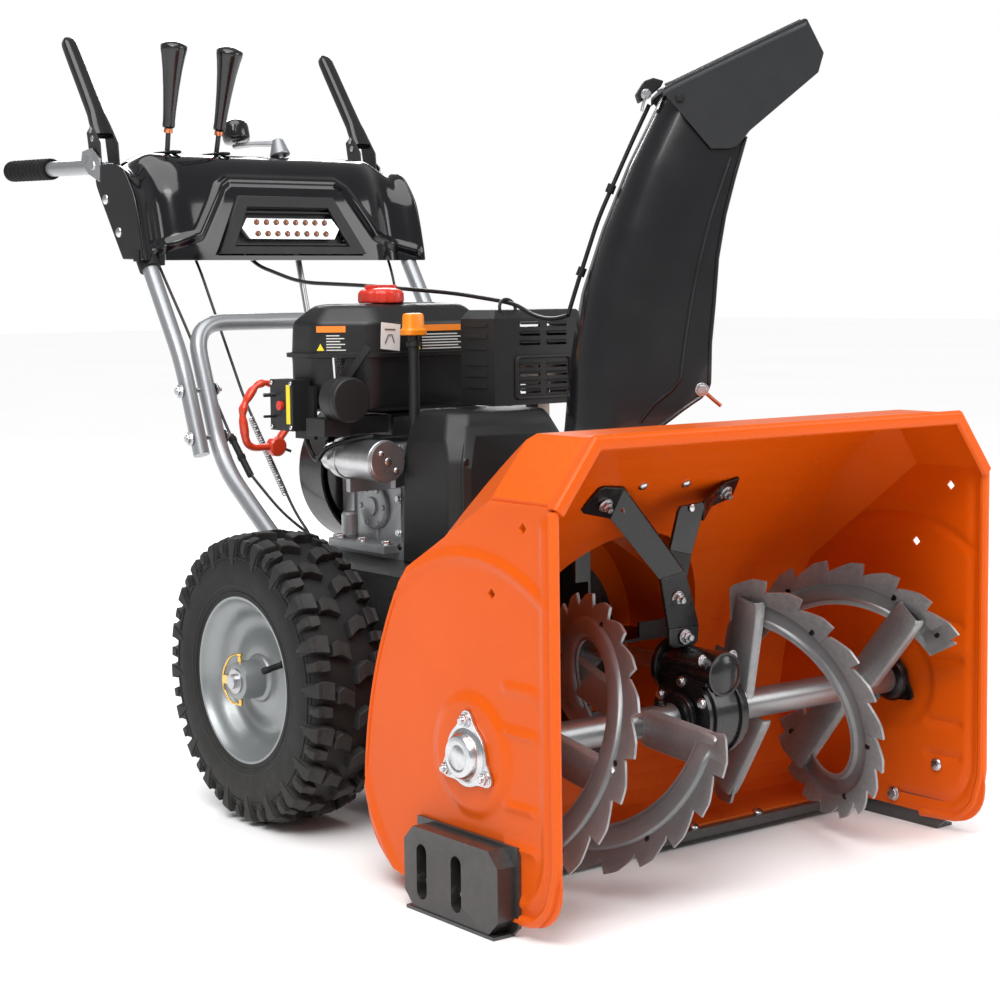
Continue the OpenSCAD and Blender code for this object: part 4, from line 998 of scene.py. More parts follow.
def chute_strip(level):
    """Open section from one front edge, round the back, to the other, as (reach, across, height)."""
    station = chute_station(level)
    _, back, front, _, half, front_e, back_e = station
    limit = back + 60
    for _ in range(20):
        limit = 0.5 * limit + 0.5 * along(FRONT_EDGE, chute_height(station, limit))
    dense = []
    for i in range(401):
        a = math.pi * i / 400
        c, e = math.cos(a), front_e if math.cos(a) > 0 else back_e
        reach = (back + front) / 2 + (front - back) / 2 * math.copysign(abs(c) ** e, c)
        dense.append((reach, half * abs(math.sin(a)) ** e))
    if limit < front:
        near = next(i for i, p in enumerate(dense) if p[0] < limit)
        a, b = dense[near - 1], dense[near]
        t = (limit - a[0]) / (b[0] - a[0])
        dense = [(limit, a[1] + (b[1] - a[1]) * t)] + dense[near:]
    lengths = [0.0]
    for a, b in zip(dense, dense[1:]):
        lengths.append(lengths[-1] + math.hypot(b[0] - a[0], b[1] - a[1]))
    out = []
    j = 0
    for k in range(45):
        want = lengths[-1] * k / 44
        while j < len(dense) - 2 and lengths[j + 1] < want:
            j += 1
        t = (want - lengths[j]) / max(1e-9, lengths[j + 1] - lengths[j])
        reach = dense[j][0] + (dense[j + 1][0] - dense[j][0]) * t
        across = dense[j][1] + (dense[j + 1][1] - dense[j][1]) * t
        out.append((reach, across, chute_height(station, reach)))
    return out + [(r, -w, h) for r, w, h in reversed(out[:-1])]


def build_chute():
    levels = ([454, 466, 480, 490, 498, 502, 506, 510, 514, 518, 522, 526, 530, 534, 540, 548]
              + [556 + 9 * i for i in range(48)] + [988])
    strips = [chute_strip(z) for z in levels]
    rings = [[in_chute(*p) for p in strip] for strip in strips]
    piece("chute_shell", loft(rings, around=False), "chute_black", "chute", ["chute_body"],
          thick=4.2, offset=-1.0, smooth=50)
    for s, name in ((-1, "near"), (1, "far")):
        crease = []
        for level in [560 + 8 * i for i in range(44)]:
            reach = along(CREASE, level)
            station = chute_station(level + 0.18 * max(0, level - 720))
            crease.append(in_chute(reach, s * (station[4] + 0.4), level))
        piece("chute_crease_" + name, tube(crease, 2.6, 10), "chute_black", "chute")
    for s, name in ((0, "far"), (-1, "near")):
        edge = [in_chute(strip[s][0] + 1.0, strip[s][1] * 1.0, strip[s][2]) for z, strip in zip(levels,
                strips)
                if z >= 530]
        piece("chute_edge_" + name, tube(edge, 2.8, 10), "chute_black", "chute")
    ring = lathe([(84, 446), (104, 446), (104, 454), (90, 454), (90, 458), (86, 460), (84, 460)],
                 CHUTE_AXIS, (0, 0, 1), 80)
    teeth = []
    for k in range(40):
        a = 2 * math.pi * k / 40
        out = REACH * math.cos(a) + ACROSS * math.sin(a)
        side = Vector((0, 0, 1)).cross(out)
        low = [CHUTE_AXIS + out * r + side * w + Vector((0, 0, 446.3)) for r, w in
               ((102, -4.6), (108, -1.8), (108, 1.8), (102, 4.6))]
        teeth.append(loft([low, [p + Vector((0, 0, 7.4)) for p in low]]))
    piece("chute_ring", join(ring, *teeth), "chute_black", "chute", bevel=0.4)
    # bolts with a short pin at the lower front corners
    bolts = []
    for s in (-1, 1):
        bolts.append(hex_head(in_chute(94, s * 81, 602), ACROSS * s, 12, 5, 9))
        bolts.append(hex_head(in_chute(94, s * 77, 602), ACROSS * -s, 13, 6, 9))
    piece("chute_bolts", join(*bolts), "zinc", "chute", bevel=0.3)
    stub = tube([in_chute(98, -78, 599), in_chute(108, -76, 590), in_chute(120, -72, 580)], 2.6, 10)
    piece("chute_stub", stub, "copper", "chute")


HOOD = [(44, 989), (46, 994), (60, 1002), (120, 1030), (228, 1081), (232, 1080), (254, 1037), (247, 1012),
        (158, 938), (150, 928), (140, 918), (132, 915), (107, 915)]


def build_hood():
    plates = []
    for s in (-1, 1):
        low = [in_chute(a, s * 69, b) for a, b in HOOD]
        plates.append(loft([low, [p + ACROSS * s * 3.2 for p in low]]))
    top = []
    for a, b in ((44, 991), (52, 996), (60, 1000), (100, 1019), (150, 1042), (200, 1065), (231, 1079)):
        row = []
        for w, drop in ((-72.5, -9), (-72.4, -3), (-70, 0.6), (-64, 2), (0, 2.6), (64, 2), (70, 0.6),
                (72.4, -3),
                        (72.5, -9)):
            row.append(in_chute(a, w, b + drop))
        top.append(row)
    piece("hood_sides", join(*plates), "hood_grey", "chute_deflector", ["chute_deflector"],
          bevel=1.0, smooth=30)
    piece("hood_top", loft(top, around=False), "hood_grey", "chute_deflector", thick=3.2,
          offset=-1.0, smooth=50)
    ribs = []
    for w in (-46, 46):
        ribs.append(tube([in_chute(a, w, b + 3.2) for a, b in ((50, 996), (60, 1000), (150, 1042), (228,
                1078))],
                         2.2, 8))
    piece("hood_ribs", join(*ribs), "hood_grey", "chute_deflector")
    knob = []
    for s in (-1, 1):
        knob.append(lathe([(0, 0), (6, 0), (6, 2), (4, 4), (0, 4)], in_chute(66, s * 72, 980),
                          ACROSS * s, 28))
    piece("hood_pivots", join(*knob), "rubber_black", "chute_deflector", bevel=0.3)
    # cable clamp behind the hinge
    clamp = [in_chute(a, -16, b) for a, b in ((20, 980), (16, 992), (26, 1008), (38, 1012), (52, 1008),
                                              (48, 1000), (36, 990))]
    block_shape = loft([clamp, [p + ACROSS * 34 for p in clamp]])
    piece("hood_clamp", block_shape, "rubber_black", "chute_deflector", bevel=2.0)
    nut = [hex_head(in_chute(28, -18, 990), -ACROSS, 10, 5, 7),
           tube([in_chute(28, -20, 990), in_chute(24, -20, 978), in_chute(22, -18, 968)], 2, 8)]
    piece("hood_nut", join(*nut), "zinc", "chute_deflector", bevel=0.2)


build_chute()
build_hood()
dress("chute_pinion", "steel", 0.3)


# ---------------------------------------------------------------- belt cover, tank, engine

def faceted_box(levels):
    """Stacked rectangular rings with cut corners: (z, x0, x1, y0, y1, cut)."""
    rings = []
    for z, x0, x1, y0, y1, c in levels:
        rings.append([Vector(p) for p in (
            (x0 + c, y0, z), (x1 - c, y0, z), (x1, y0 + c, z), (x1, y1 - c, z), (x1 - c, y1, z), (x0 + c,
                    y1, z),
            (x0, y1 - c, z), (x0, y0 + c, z))])
    return loft(rings)


def build_belt_cover():
    cover = faceted_box([(350, -110, 110, -178, -36, 16), (500, -108, 108, -176, -36, 18),
                         (528, -104, 104, -168, -36, 22), (556, -92, 92, -156, -40, 22),
                         (565, -86, 86, -148, -46, 20)])
    piece("belt_cover_shell", cover, "cover_black", replaces=["belt_cover"], bevel=4,
          segments=3, smooth=14)
    # bevelled field on the front face
    low = [(-98, 354), (-98, 496), (-76, 548), (70, 548), (98, 496), (98, 354)]
    high = [(-86, 354), (-86, 490), (-68, 534), (62, 534), (86, 490), (86, 354)]

    def on_cover(x, z, lift):
        y = -178 if z < 500 else -178 + (z - 500) * 0.42
        return Vector((x, y - lift, z))
    field = loft([[on_cover(x, z, -3) for x, z in low], [on_cover(x, z, 1) for x, z in low],
                  [on_cover(x, z, 6) for x, z in high]])
    piece("belt_cover_panel", field, "cover_black", bevel=1.5, smooth=20)
    screws = [dome_head((x, -178.6, z), (0, -1, 0), 6, 3) for x, z in ((-92, 366), (96, 366), (96, 500),
                                                                      (-92, 500))]
    screws += [dome_head((-110.6, y, 372), (-1, 0, 0), 5, 3) for y in (-158, -46)]
    piece("belt_cover_screws", join(*screws), "black_paint")


def tank_ring(z, grow):
    """Rounded outline of the tank at a height; grow moves it in (negative) or out."""
    g = grow
    corners = [(-180 - g, 62 - 0.4 * g, 14), (-116 - 0.4 * g, 4 - g, 16), (90 + g, 4 - g, 20),
               (90 + g, 134 + g, 24), (-180 - g, 134 + g, 24)]
    ring = []
    count = len(corners)
    for i, (x, y, r) in enumerate(corners):
        here = Vector((x, y, 0))
        before = Vector((*corners[i - 1][:2], 0))
        after = Vector((*corners[(i + 1) % count][:2], 0))
        a = here + (before - here).normalized() * r
        b = here + (after - here).normalized() * r
        for k in range(7):
            t = k / 6
            p = a * (1 - t) ** 2 + here * 2 * t * (1 - t) + b * t * t
            ring.append(Vector((p.x, p.y, z)))
    return ring


def build_tank():
    levels = [(562, -14), (563, -8), (567, -3.5), (574, -1), (600, 0), (632, 0.4), (639, 0.8), (640, 6.5),
              (646, 6.5), (647, 0.8), (654, 0.4), (684, -0.6), (689, -1.6), (693, -4), (709, -19), (713, -24),
              (715, -30), (716, -44)]
    rings = [tank_ring(z, g) for z, g in levels]
    piece("tank_shell", loft(rings), "tank_black", replaces=["fuel_tank"], bevel=1.0,
          smooth=25)
    pad = prism([(-44, -20), (44, -20), (52, 0), (44, 20), (-44, 20), (-52, 0)], (-20, 66, 713), (1, 0, 0),
                (0, 1, 0), 4)
    neck = lathe([(24.4, 0), (31, 0), (31, 5), (29, 7), (24.4, 7)], (-60, 66, 708.5), (0, 0, 1), 48)
    piece("tank_neck", join(neck, pad), "tank_black", bevel=0.8)
    ring_count = 96
    rings = []
    for z, r, rib in ((716.6, 32, 0), (718, 33, 0), (720, 33, 1), (730, 32.6, 1), (733, 31, 1), (736, 28,
            0.3),
                      (738, 22, 0), (739, 10, 0), (739.2, 0.2, 0)):
        ring = []
        for k in range(ring_count):
            a = 2 * math.pi * k / ring_count
            wave = 1.3 * rib * max(0.0, math.cos(a * 16)) ** 0.5 if math.cos(a * 16) > 0 else 0.0
            ring.append(Vector((-60 + (r + wave) * math.cos(a), 66 + (r + wave) * math.sin(a), z)))
        rings.append(ring)
    grip = prism([(-25, -5), (25, -5), (27, 0), (25, 5), (-25, 5), (-27, 0)], (-60, 66, 737), (1, 0, 0),
                 (0, 1, 0), 6)
    piece("fuel_cap_top", join(loft(rings), grip), "cap_red", "fuel_cap", ["fuel_cap"],
            bevel=0.8,
          smooth=40)
    # blank labels on the tank: a coloured band over rows of pale dashes, with no lettering
    u = Vector((0.751, -0.66, 0))
    n = Vector((-0.66, -0.751, 0))
    corner = Vector((-147, 33, 0)) + n * 0.6
    front = Vector((0, 3.6, 0))
    bands, dashes, signs = [], [], []
    for origin, run, a, b in ((corner, u, -40, 2), (front, Vector((1, 0, 0)), -46, 40)):
        def patch(x0, x1, z0, z1, depth=0.8, origin=origin, run=run):
            return prism([(x0, z0), (x1, z0), (x1, z1), (x0, z1)], origin, run, (0, 0, 1), depth)
        bands.append(patch(a, b, 676, 685))
        for i in range(6):
            z = 650 + 4.1 * i
            stop = b - (i * 7) % 13
            dashes.append(patch(a + 14, stop, z, z + 1.5))
        signs.append(prism([(a, 650), (a + 11, 650), (a + 5.5, 660)], origin, run, (0, 0, 1), 0.8))
    piece("label_bands", join(*bands), "label_orange")
    piece("label_dashes", join(*dashes), "label_white")
    piece("label_signs", join(*signs), "label_yellow")
    plate_shape = prism([(-105, 652), (-72, 648), (-70, 686), (-103, 690)], (0, 3.0, 0), (1, 0, 0), (0,
            0, 1), -1.4)
    piece("label_plate", plate_shape, "label_white", bevel=0.3)
    marks = [tube([(-98, 2, 660), (-92, 2, 672), (-86, 2, 672), (-82, 2, 660)], 0.7, 6),
             tube([(-98, 2, 680), (-80, 2, 679)], 0.7, 6)]
    piece("label_marks", join(*marks), "black_paint")


def build_engine():
    dress("engine_block", "cast_alloy", 1.2)
    dress("blower_housing", "black_paint", 1.6)
    dress("starter_motor", "starter_metal", 1.0)
    dress("switch_box", "cover_black", 1.4)
    dress("muffler", "heat_steel", 1.5)
    dress("dipstick_tube", "cover_black", 0.5)
    dress("belts", "rubber_black")
    dress("tractor_frame", "black_paint", 0.8)
    dress("throttle_lever", "cover_black", 0.8)
    dress("start_button", "cap_red", 0.8)
    # starter details
    parts = [lathe([(29.2, 0), (30.4, 1), (30.4, 8), (29.2, 9)], (-139.5, y, 496), (0, 1, 0), 48)
             for y in (-54, 32)]
    piece("starter_bands", join(*parts), "starter_metal", bevel=0.5)
    screws = [dome_head((-139.5 + dx, -61.4, 496 + dz), (0, -1, 0), 4.4, 2.6) for dx, dz in ((-12, 12),
            (13, -13))]
    screws += [dome_head((-139.5, -61.4, 496), (0, -1, 0), 6, 1.5)]
    piece("starter_screws", join(*screws), "zinc")
    # crankcase features
    features = []
    for y in (-8, 52, 112):
        features.append(block((-82, y, 372), (-76, y + 8, 452)))
    features.append(lathe([(0, 0), (34, 0), (34, 6), (30, 8), (14, 8), (14, 12), (0, 12)], (-78, 60, 420),
                          (-1, 0, 0), 40))
    features.append(lathe([(0, 0), (26, 0), (26, 8), (22, 10), (0, 10)], (-40, -12, 420), (0, -1, 0), 36))
    features.append(block((-124, -24, 360), (-96, 120, 372)))
    features.append(prism([(-30, 0), (30, 0), (24, 46), (-10, 60), (-30, 30)], (-92, -14, 455), (0.8, 0.6, 0),
                          (0, 0, 1), 8))
    features.append(lathe([(0, 0), (12, 0), (12, 30), (9, 34), (0, 34)], (-104, 92, 378), (0, 0, 1), 24))
    for a in range(6):
        t = math.radians(60 * a)
        features.append(hex_head((-84, 60 + 28 * math.cos(t), 420 + 28 * math.sin(t)), (-1, 0, 0), 8, 4))
    piece("crankcase_details", join(*features), "cast_alloy", bevel=1.0)
    bolts = []
    for x, y, z in ((-110, -10, 372), (-110, 50, 372), (-110, 106, 372)):
        bolts.append(hex_head((x, y, z), (0, 0, 1), 12, 6, 10))
    for z in (386, 436):
        bolts.append(hex_head((-82, -4, z), (-1, 0, 0), 10, 5, 7))
    piece("crankcase_bolts", join(*bolts), "zinc", bevel=0.3)
    # round intake cup
    cup = lathe([(0, 0), (29, 0), (31, 1.5), (32, 5), (32, 10), (31, 11), (32, 12), (32, 36), (30, 40),
            (24, 42),
                 (0, 42)], (-178, -31, 583), (0, 1, 0), 56)
    duct = block((-205, 0, 531), (-161, 48, 556))
    duct2 = block((-164, 22, 531), (-80, 54, 556))
    piece("intake_cup", join(cup, duct, duct2), "cover_black", replaces=["intake_cap"],
          bevel=1.2)
    arm_plate = prism([(-16, 0), (12, 0), (24, 32), (-22, 34)], (-176, 8, 608), (0.8, 0.6, 0), (0, 0, 1), 3)
    piece("intake_bracket", arm_plate, "zinc", bevel=0.4)
    # switch box stickers and terminals, left blank
    strips = [prism([(74, 546), (84, 546), (84, 602), (74, 602)], (-214.3, 0, 0), (0, 1, 0), (0, 0, 1), -0.5)]
    piece("switch_stripe", join(*strips), "label_yellow")
    pins = [dome_head((-214.4, y, z), (-1, 0, 0), 3.4, 2) for y in (72, 123) for z in (541, 604)]
    for z in (556, 588):
        pins.append(tube([(-214, 118, z), (-232, 118, z)], 1.8, 10))
    piece("switch_pins", join(*pins), "zinc")
    # muffler guard details: framed louvres
    dress("muffler_guard", "cover_black", 2.2)
    fins = []
    for x in (29, 78):
        for z in (588, 600, 612, 624, 656, 669, 682):
            low = [Vector((x, -147.5, z + 7)), Vector((x, -152, z + 4.5)), Vector((x, -151, z + 3.2)),
                   Vector((x, -146, z + 5.4))]
            fins.append(loft([low, [p + Vector((36, 0, 0)) for p in low]]))
    piece("guard_louvres", join(*fins), "cover_black", bevel=0.4)
    rim = tube(corner_curve([(22, -148.5, 582), (22, -148.5, 640), (120, -148.5, 640), (120, -148.5, 582),
                             (24, -148.5, 582)], 8, 4), 2.6, 8)
    side_fins = []
    for z in (596, 612, 628, 650, 666, 682):
        side_fins.append(block((-18.6, -132, z), (-15.5, -84, z + 6)))
    piece("guard_rim", join(rim, *side_fins), "cover_black", bevel=0.5)
    # rear shroud details
    grille = []
    for r in (22, 36, 50, 64, 76):
        grille.append(lathe([(r, 0), (r + 3, 0), (r + 3, 3), (r, 3)], (0, 235.5, 465), (0, 1, 0), 56))
    for k in range(12):
        a = math.radians(30 * k)
        grille.append(tube([(20 * math.cos(a), 237.5, 465 + 20 * math.sin(a)),
                            (78 * math.cos(a), 237.5, 465 + 78 * math.sin(a))], 2.2, 6))
    grille.append(lathe([(0, 0), (18, 0), (18, 5), (14, 7), (0, 7)], (0, 235.5, 465), (0, 1, 0), 36))
    piece("recoil_grille", join(*grille), "black_paint", bevel=0.3)
    shroud_bolts = []
    for k in range(6):
        a = math.radians(60 * k + 30)
        shroud_bolts.append(hex_head((101 * math.cos(a), 212, 465 + 101 * math.sin(a)), (0, 1, 0), 10, 5, 8))
    piece("shroud_bolts", join(*shroud_bolts), "zinc", bevel=0.3)


DIPSTICK = (-67, -24)


def soft_rectangle(count, half_u, half_v, power, place):
    """Ring of a rectangle with soft corners; place turns its two offsets into a point."""
    ring = []
    for k in range(count):
        a = 2 * math.pi * k / count
        c, d = math.cos(a), math.sin(a)
        ring.append(place(half_u * math.copysign(abs(c) ** power, c),
                half_v * math.copysign(abs(d) ** power, d)))
    return ring


def build_dipstick():
    x, y = DIPSTICK
    rings = []
    for z, w, d in ((671, 16.6, 13), (672, 18, 14), (678, 18.2, 14.2), (680, 16, 12.4), (682, 15, 11.6),
                    (698, 14.6, 11), (701.5, 13.4, 9.6), (702.5, 9, 6)):
        rings.append(soft_rectangle(40, w, d, 0.55, lambda a, b, z=z: Vector((x + a, y + b, z))))
    rod_shape = tube([(x, y, 672), (x, y, 482)], 2.5, 12)
    piece("dipstick_cap", join(loft(rings), rod_shape), "dip_orange", "dipstick",
            ["dipstick"],
          smooth=40)
    collars = [lathe([(8.2, 0), (10.5, 0), (10.5, 7), (8.2, 7)], (x, y, z), (0, 0, 1), 32)
               for z in (374, 470, 655)]
    piece("dipstick_collars", join(*collars), "cover_black", bevel=0.5)


build_belt_cover()
build_tank()
build_engine()
build_dipstick()


# ---------------------------------------------------------------- handles, grips, recoil handle

LAP_BOLTS = [(283.5, 517.0), (310.0, 587.0)]
FRAME_BOLTS = [(20.0, 306.7), (66.0, 337.5)]
LOWER_ROUTE = [(-214, 10, 300), (-214, 158, 399), (-214, 268, 476), (-214, 348, 688), (214, 348, 688),
               (214, 268, 476), (214, 158, 399), (214, 10, 300)]


def upper_route(s):
    x = s * 246
    return [(x, 274, 492), (x, 326, 630), (x, 470, 850), (x, 552, 934), (x, 895, 942)]


def build_handles():
    piece("handle_lower_tube", tube(corner_curve(LOWER_ROUTE, 55, 12), 13, 28), "handle_grey",
          replaces=["handle_lower"])
    uppers = [tube(corner_curve(upper_route(s), 40, 12), 12.4, 28) for s in (-1, 1)]
    piece("handle_upper_tubes", join(*uppers), "handle_grey", replaces=["handle_upper"])
    bolts = []
    for s in (-1, 1):
        for y, z in LAP_BOLTS:
            bolts.append(lathe([(0, 0), (3.9, 0), (3.9, 78), (0, 78)], (s * 190, y, z), (s, 0, 0), 16))
            bolts.append(hex_head((s * 259, y, z), (s, 0, 0), 13, 7, 11))
            bolts.append(hex_head((s * 201, y, z), (-s, 0, 0), 13, 7, 11))
        for y, z in FRAME_BOLTS:
            bolts.append(hex_head((s * 227, y, z), (s, 0, 0), 13, 7, 10))
            bolts.append(hex_head((s * 195.5, y, z), (-s, 0, 0), 13, 6, 10))
        bolts.append(hex_head((s * 263.5, 556, 934), (s, 0, 0), 13, 6, 9))
        bolts.append(hex_head((s * 228.5, 556, 934), (-s, 0, 0), 13, 6, 9))
    piece("handle_bolts", join(*bolts), "zinc", bevel=0.3)
    sleeves = []
    for s in (-1, 1):
        sleeves.append(lathe([(13.2, 0), (16, 0), (17.4, 2), (17.8, 8), (17.0, 12), (17.0, 140), (17.6, 146),
                              (17.4, 151), (15.5, 154.5), (9, 156), (0, 156)], (s * 246, 745, 938.5),
                             (0, 0.9997, 0.0233), 40))
        for k in range(9):
            sleeves.append(lathe([(17, -1.6), (17.9, 0), (17, 1.6)], (s * 246, 766 + 15 * k, 939 + 0.35 * k),
                                 (0, 0.9997, 0.0233), 40))
    piece("grip_sleeves", join(*sleeves), "foam_black", replaces=["grips"])
    # spring clamp for the cables on the right tube
    clamp = [lathe([(12.6, 0), (17, 0), (17, 24), (12.6, 24)], (-246, 418, 770), (0, 0.548, 0.837), 28),
             block((-268, 414, 782), (-258, 432, 800)), block((-232, 414, 776), (-222, 432, 794))]
    piece("cable_clamp", join(*clamp), "rubber_black", bevel=1.2)


def build_recoil():
    route = [(-139, 250, 500), (-182, 250, 500), (-190, 250, 560), (-160, 250, 600), (-112, 250, 590),
             (-100, 250, 540), (-127, 250, 508)]
    path = corner_curve(route, 18, 8)
    dense = []
    for a, b in zip(path, path[1:]):
        for i in range(3):
            dense.append(a.lerp(b, i / 3))
    dense.append(path[-1])
    frames = path_frames(dense)
    rings = []
    for i, (p, u, v, _) in enumerate(frames):
        share = i / (len(frames) - 1)
        grip = 1.0
        if 0.20 < share < 0.62:
            grip = 1.0 + 0.16 * math.cos((share - 0.20) / 0.42 * math.pi * 8)
        rings.append([p + (u * math.cos(2 * math.pi * k / 20) * 7.2 * grip
                           + v * math.sin(2 * math.pi * k / 20) * 5.6 * grip) for k in range(20)])
    piece("recoil_loop", loft(rings), "handle_red", "recoil_handle", ["recoil_handle"],
            smooth=60)
    hub = lathe([(0, 0), (12, 0), (15, 3), (15, 15), (12, 18), (0, 18)], (-130, 241, 500), (0, 1, 0), 28)
    piece("recoil_hub", hub, "handle_red", "recoil_handle", bevel=0.6)
    # the starter rope: stretches between the housing and the handle
    start = Vector((-110, 240, 492))
    knot = Vector((-127, 249, 500))
    rope = tube([start.lerp(knot, i / 16) for i in range(17)], 2.2, 10)
    obj = piece("starter_rope", rope, "rubber_black", None)
    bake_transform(obj)


build_handles()
build_recoil()


# ---------------------------------------------------------------- console and levers

def console_profile(x):
    """Section of the console shell at x: (y, z) from the front lower edge over the top to the rear."""
    end = smooth_step(196, 266, abs(x))
    waist = 15 * math.exp(-((abs(x) - 214) / 24) ** 2)
    flare = 7 * smooth_step(236, 264, abs(x))
    points = [(410, 784), (412, 800), (424, 850), (434, 888), (452, 924), (470, 944), (492, 953), (520,
            953.5),
              (541, 950), (552, 938), (554, 924), (540, 894), (508, 840), (476, 786)]
    out = []
    for y, z in points:
        corner = smooth_step(240, 264, abs(x)) * smooth_step(900, 953, z)
        drop = 30 * end * smooth_step(860, 953, z) - 12 * corner
        pull = (waist - flare) * (1 if y < 480 else 0)
        out.append(Vector((y + pull, z - drop, 0)))
    return corner_curve(out, 14, 3)


RIDGE = [(-236, 800), (-196, 812), (-158, 824), (-108, 900), (-90, 911), (110, 911), (128, 900), (176, 824),
         (214, 812), (250, 800)]


def console_relief(x, y, z):
    """Pressed-out features on the front of the console."""
    if y > 470 or z > 935:
        return 0.0
    return 5.0 * (1 - smooth_step(0.5, 11.0, line_distance((x, z), RIDGE)))


def build_console():
    xs = [-262 + 524 * i / 174 for i in range(175)]
    rings = []
    for x in xs:
        profile = console_profile(x)
        dense = []
        for a, b in zip(profile, profile[1:]):
            steps = max(1, int((b - a).length / 6))
            for i in range(steps):
                dense.append(a.lerp(b, i / steps))
        dense.append(profile[-1])
        total = [0.0]
        for a, b in zip(dense, dense[1:]):
            total.append(total[-1] + (b - a).length)
        ring = []
        count = 120
        for k in range(count + 1):
            want = total[-1] * k / count
            j = max(i for i in range(len(total) - 1) if total[i] <= want + 1e-9)
            t = (want - total[j]) / max(1e-9, total[j + 1] - total[j])
            p = dense[j].lerp(dense[j + 1], t)
            d = (dense[j + 1] - dense[j]).normalized()
            normal = Vector((-d.y, d.x, 0))
            lift = console_relief(x, p.x, p.y)
            q = p + normal * lift
            ring.append(Vector((x, q.x, q.y)))
        rings.append(ring)
    shape = loft(rings, around=False)
    keep = []
    for face in shape[1]:
        c = sum((shape[0][i] for i in face), Vector()) / len(face)
        half = 137 - (c.z - 792) * 0.52
        window = c.y < 460 and abs(c.x - 8) < half and 792 < c.z < 887
        slots = c.z > 935 and 480 < c.y < 546 and (abs(c.x + 159) < 6 or abs(c.x + 70) < 6)
        hole = c.z > 935 and math.hypot(c.x - 48, c.y - 508) < 15
        ends = abs(abs(c.x) - 246) < 17 and c.y > 506 and c.z > 890
        if not (window or slots or hole or ends):
            keep.append(face)
    piece("console_body", (shape[0], keep), "gloss_black", replaces=["console_shell"],
          thick=3.2, offset=-1.0, smooth=45)
    # end plates with their bolts
    plates, bolts = [], []
    for s in (-1, 1):
        outline = [(p.x, p.y) for p in console_profile(262)]
        plates.append(prism(outline, (s * 262, 0, 0), (0, 1, 0), (0, 0, 1), s * 4))
        bolts.append(dome_head((s * 266, 533 - 14, 874 + 6), (s, 0, 0), 8, 4))
        bolts.append(dome_head((s * 266, 490 - 12, 818 + 10), (s, 0, 0), 8, 4))
    piece("console_ends", join(*plates), "gloss_black", bevel=1.6)
    piece("console_bolts", join(*bolts), "zinc")
    # boots round the lever slots
    boots = []
    for x in (-159, -70):
        ring = [(x - 7, 481), (x + 7, 481), (x + 7, 547), (x - 7, 547)]
        boots.append(tube(corner_curve([(a, b, 955) for a, b in ring + ring[:1]], 5, 4), 2.4, 8))
    piece("lever_slots", join(*boots), "rubber_black")


def on_front(z):
    """Console front face's y at height z."""
    return 412 + (z - 800) * 0.24 if z < 850 else 424 + (z - 850) * 0.263


def build_bezel():
    def flat(points, lift, depth):
        low = [Vector((x, on_front(z) + lift, z)) for x, z in points]
        high = [p + Vector((0, depth, 0)) for p in low]
        return loft([low, high])
    outer = [(-131, 794), (147, 794), (97, 886), (-81, 886)]
    inner = [(-100, 806), (116, 806), (84, 868), (-68, 868)]
    frame_parts = []
    for i in range(4):
        a, b = outer[i], outer[(i + 1) % 4]
        c, d = inner[(i + 1) % 4], inner[i]
        frame_parts.append(flat([a, b, c, d], -7, 10))
    piece("bezel_frame", join(*frame_parts), "cover_black", replaces=["console_bezel"],
          bevel=1.2)
    floor = flat(inner, 6, 4)
    piece("bezel_floor", floor, "cover_black")
    fins = []
    for z in (808, 859, 866):
        half = 106 - (z - 806) * 0.5
        fins.append(flat([(8 - half, z), (8 + half, z), (8 + half, z + 2.6), (8 - half, z + 2.6)], -3, 10))
    for i in range(6):
        z = 814 + 7.4 * i
        half = 106 - (z - 806) * 0.5
        for a, b in ((8 - half, -90), (106, 8 + half)):
            fins.append(flat([(a, z), (b, z), (b, z + 2.4), (a, z + 2.4)], -3, 10))
    piece("bezel_fins", join(*fins), "cover_black", bevel=0.4)
    lamp = [(-84, 834), (-72, 851), (88, 851), (100, 834), (88, 817), (-72, 817)]
    piece("lamp_lens", flat(lamp, -7, 12), "lens_clear", replaces=["led_lamp"], bevel=1.5)
    dots = []
    for i in range(8):
        for z in (826, 844):
            x = -56 + 18.3 * i
            dots.append(lathe([(0, 0), (5.2, 0), (4.8, 1.6), (3.0, 2.4), (0, 2.6)],
                              (x, on_front(z) - 7, z), (0, -1, 0.2), 20))
    piece("lamp_cells", join(*dots), "led_amber")


LEVERS = ((-159, 11, "speed_lever"), (-70, 18, "deflector_lever"))
LEVER_Y = 515
CLUTCH_PIVOT = (246, 556, 934)
CLUTCH_LIFT = 54


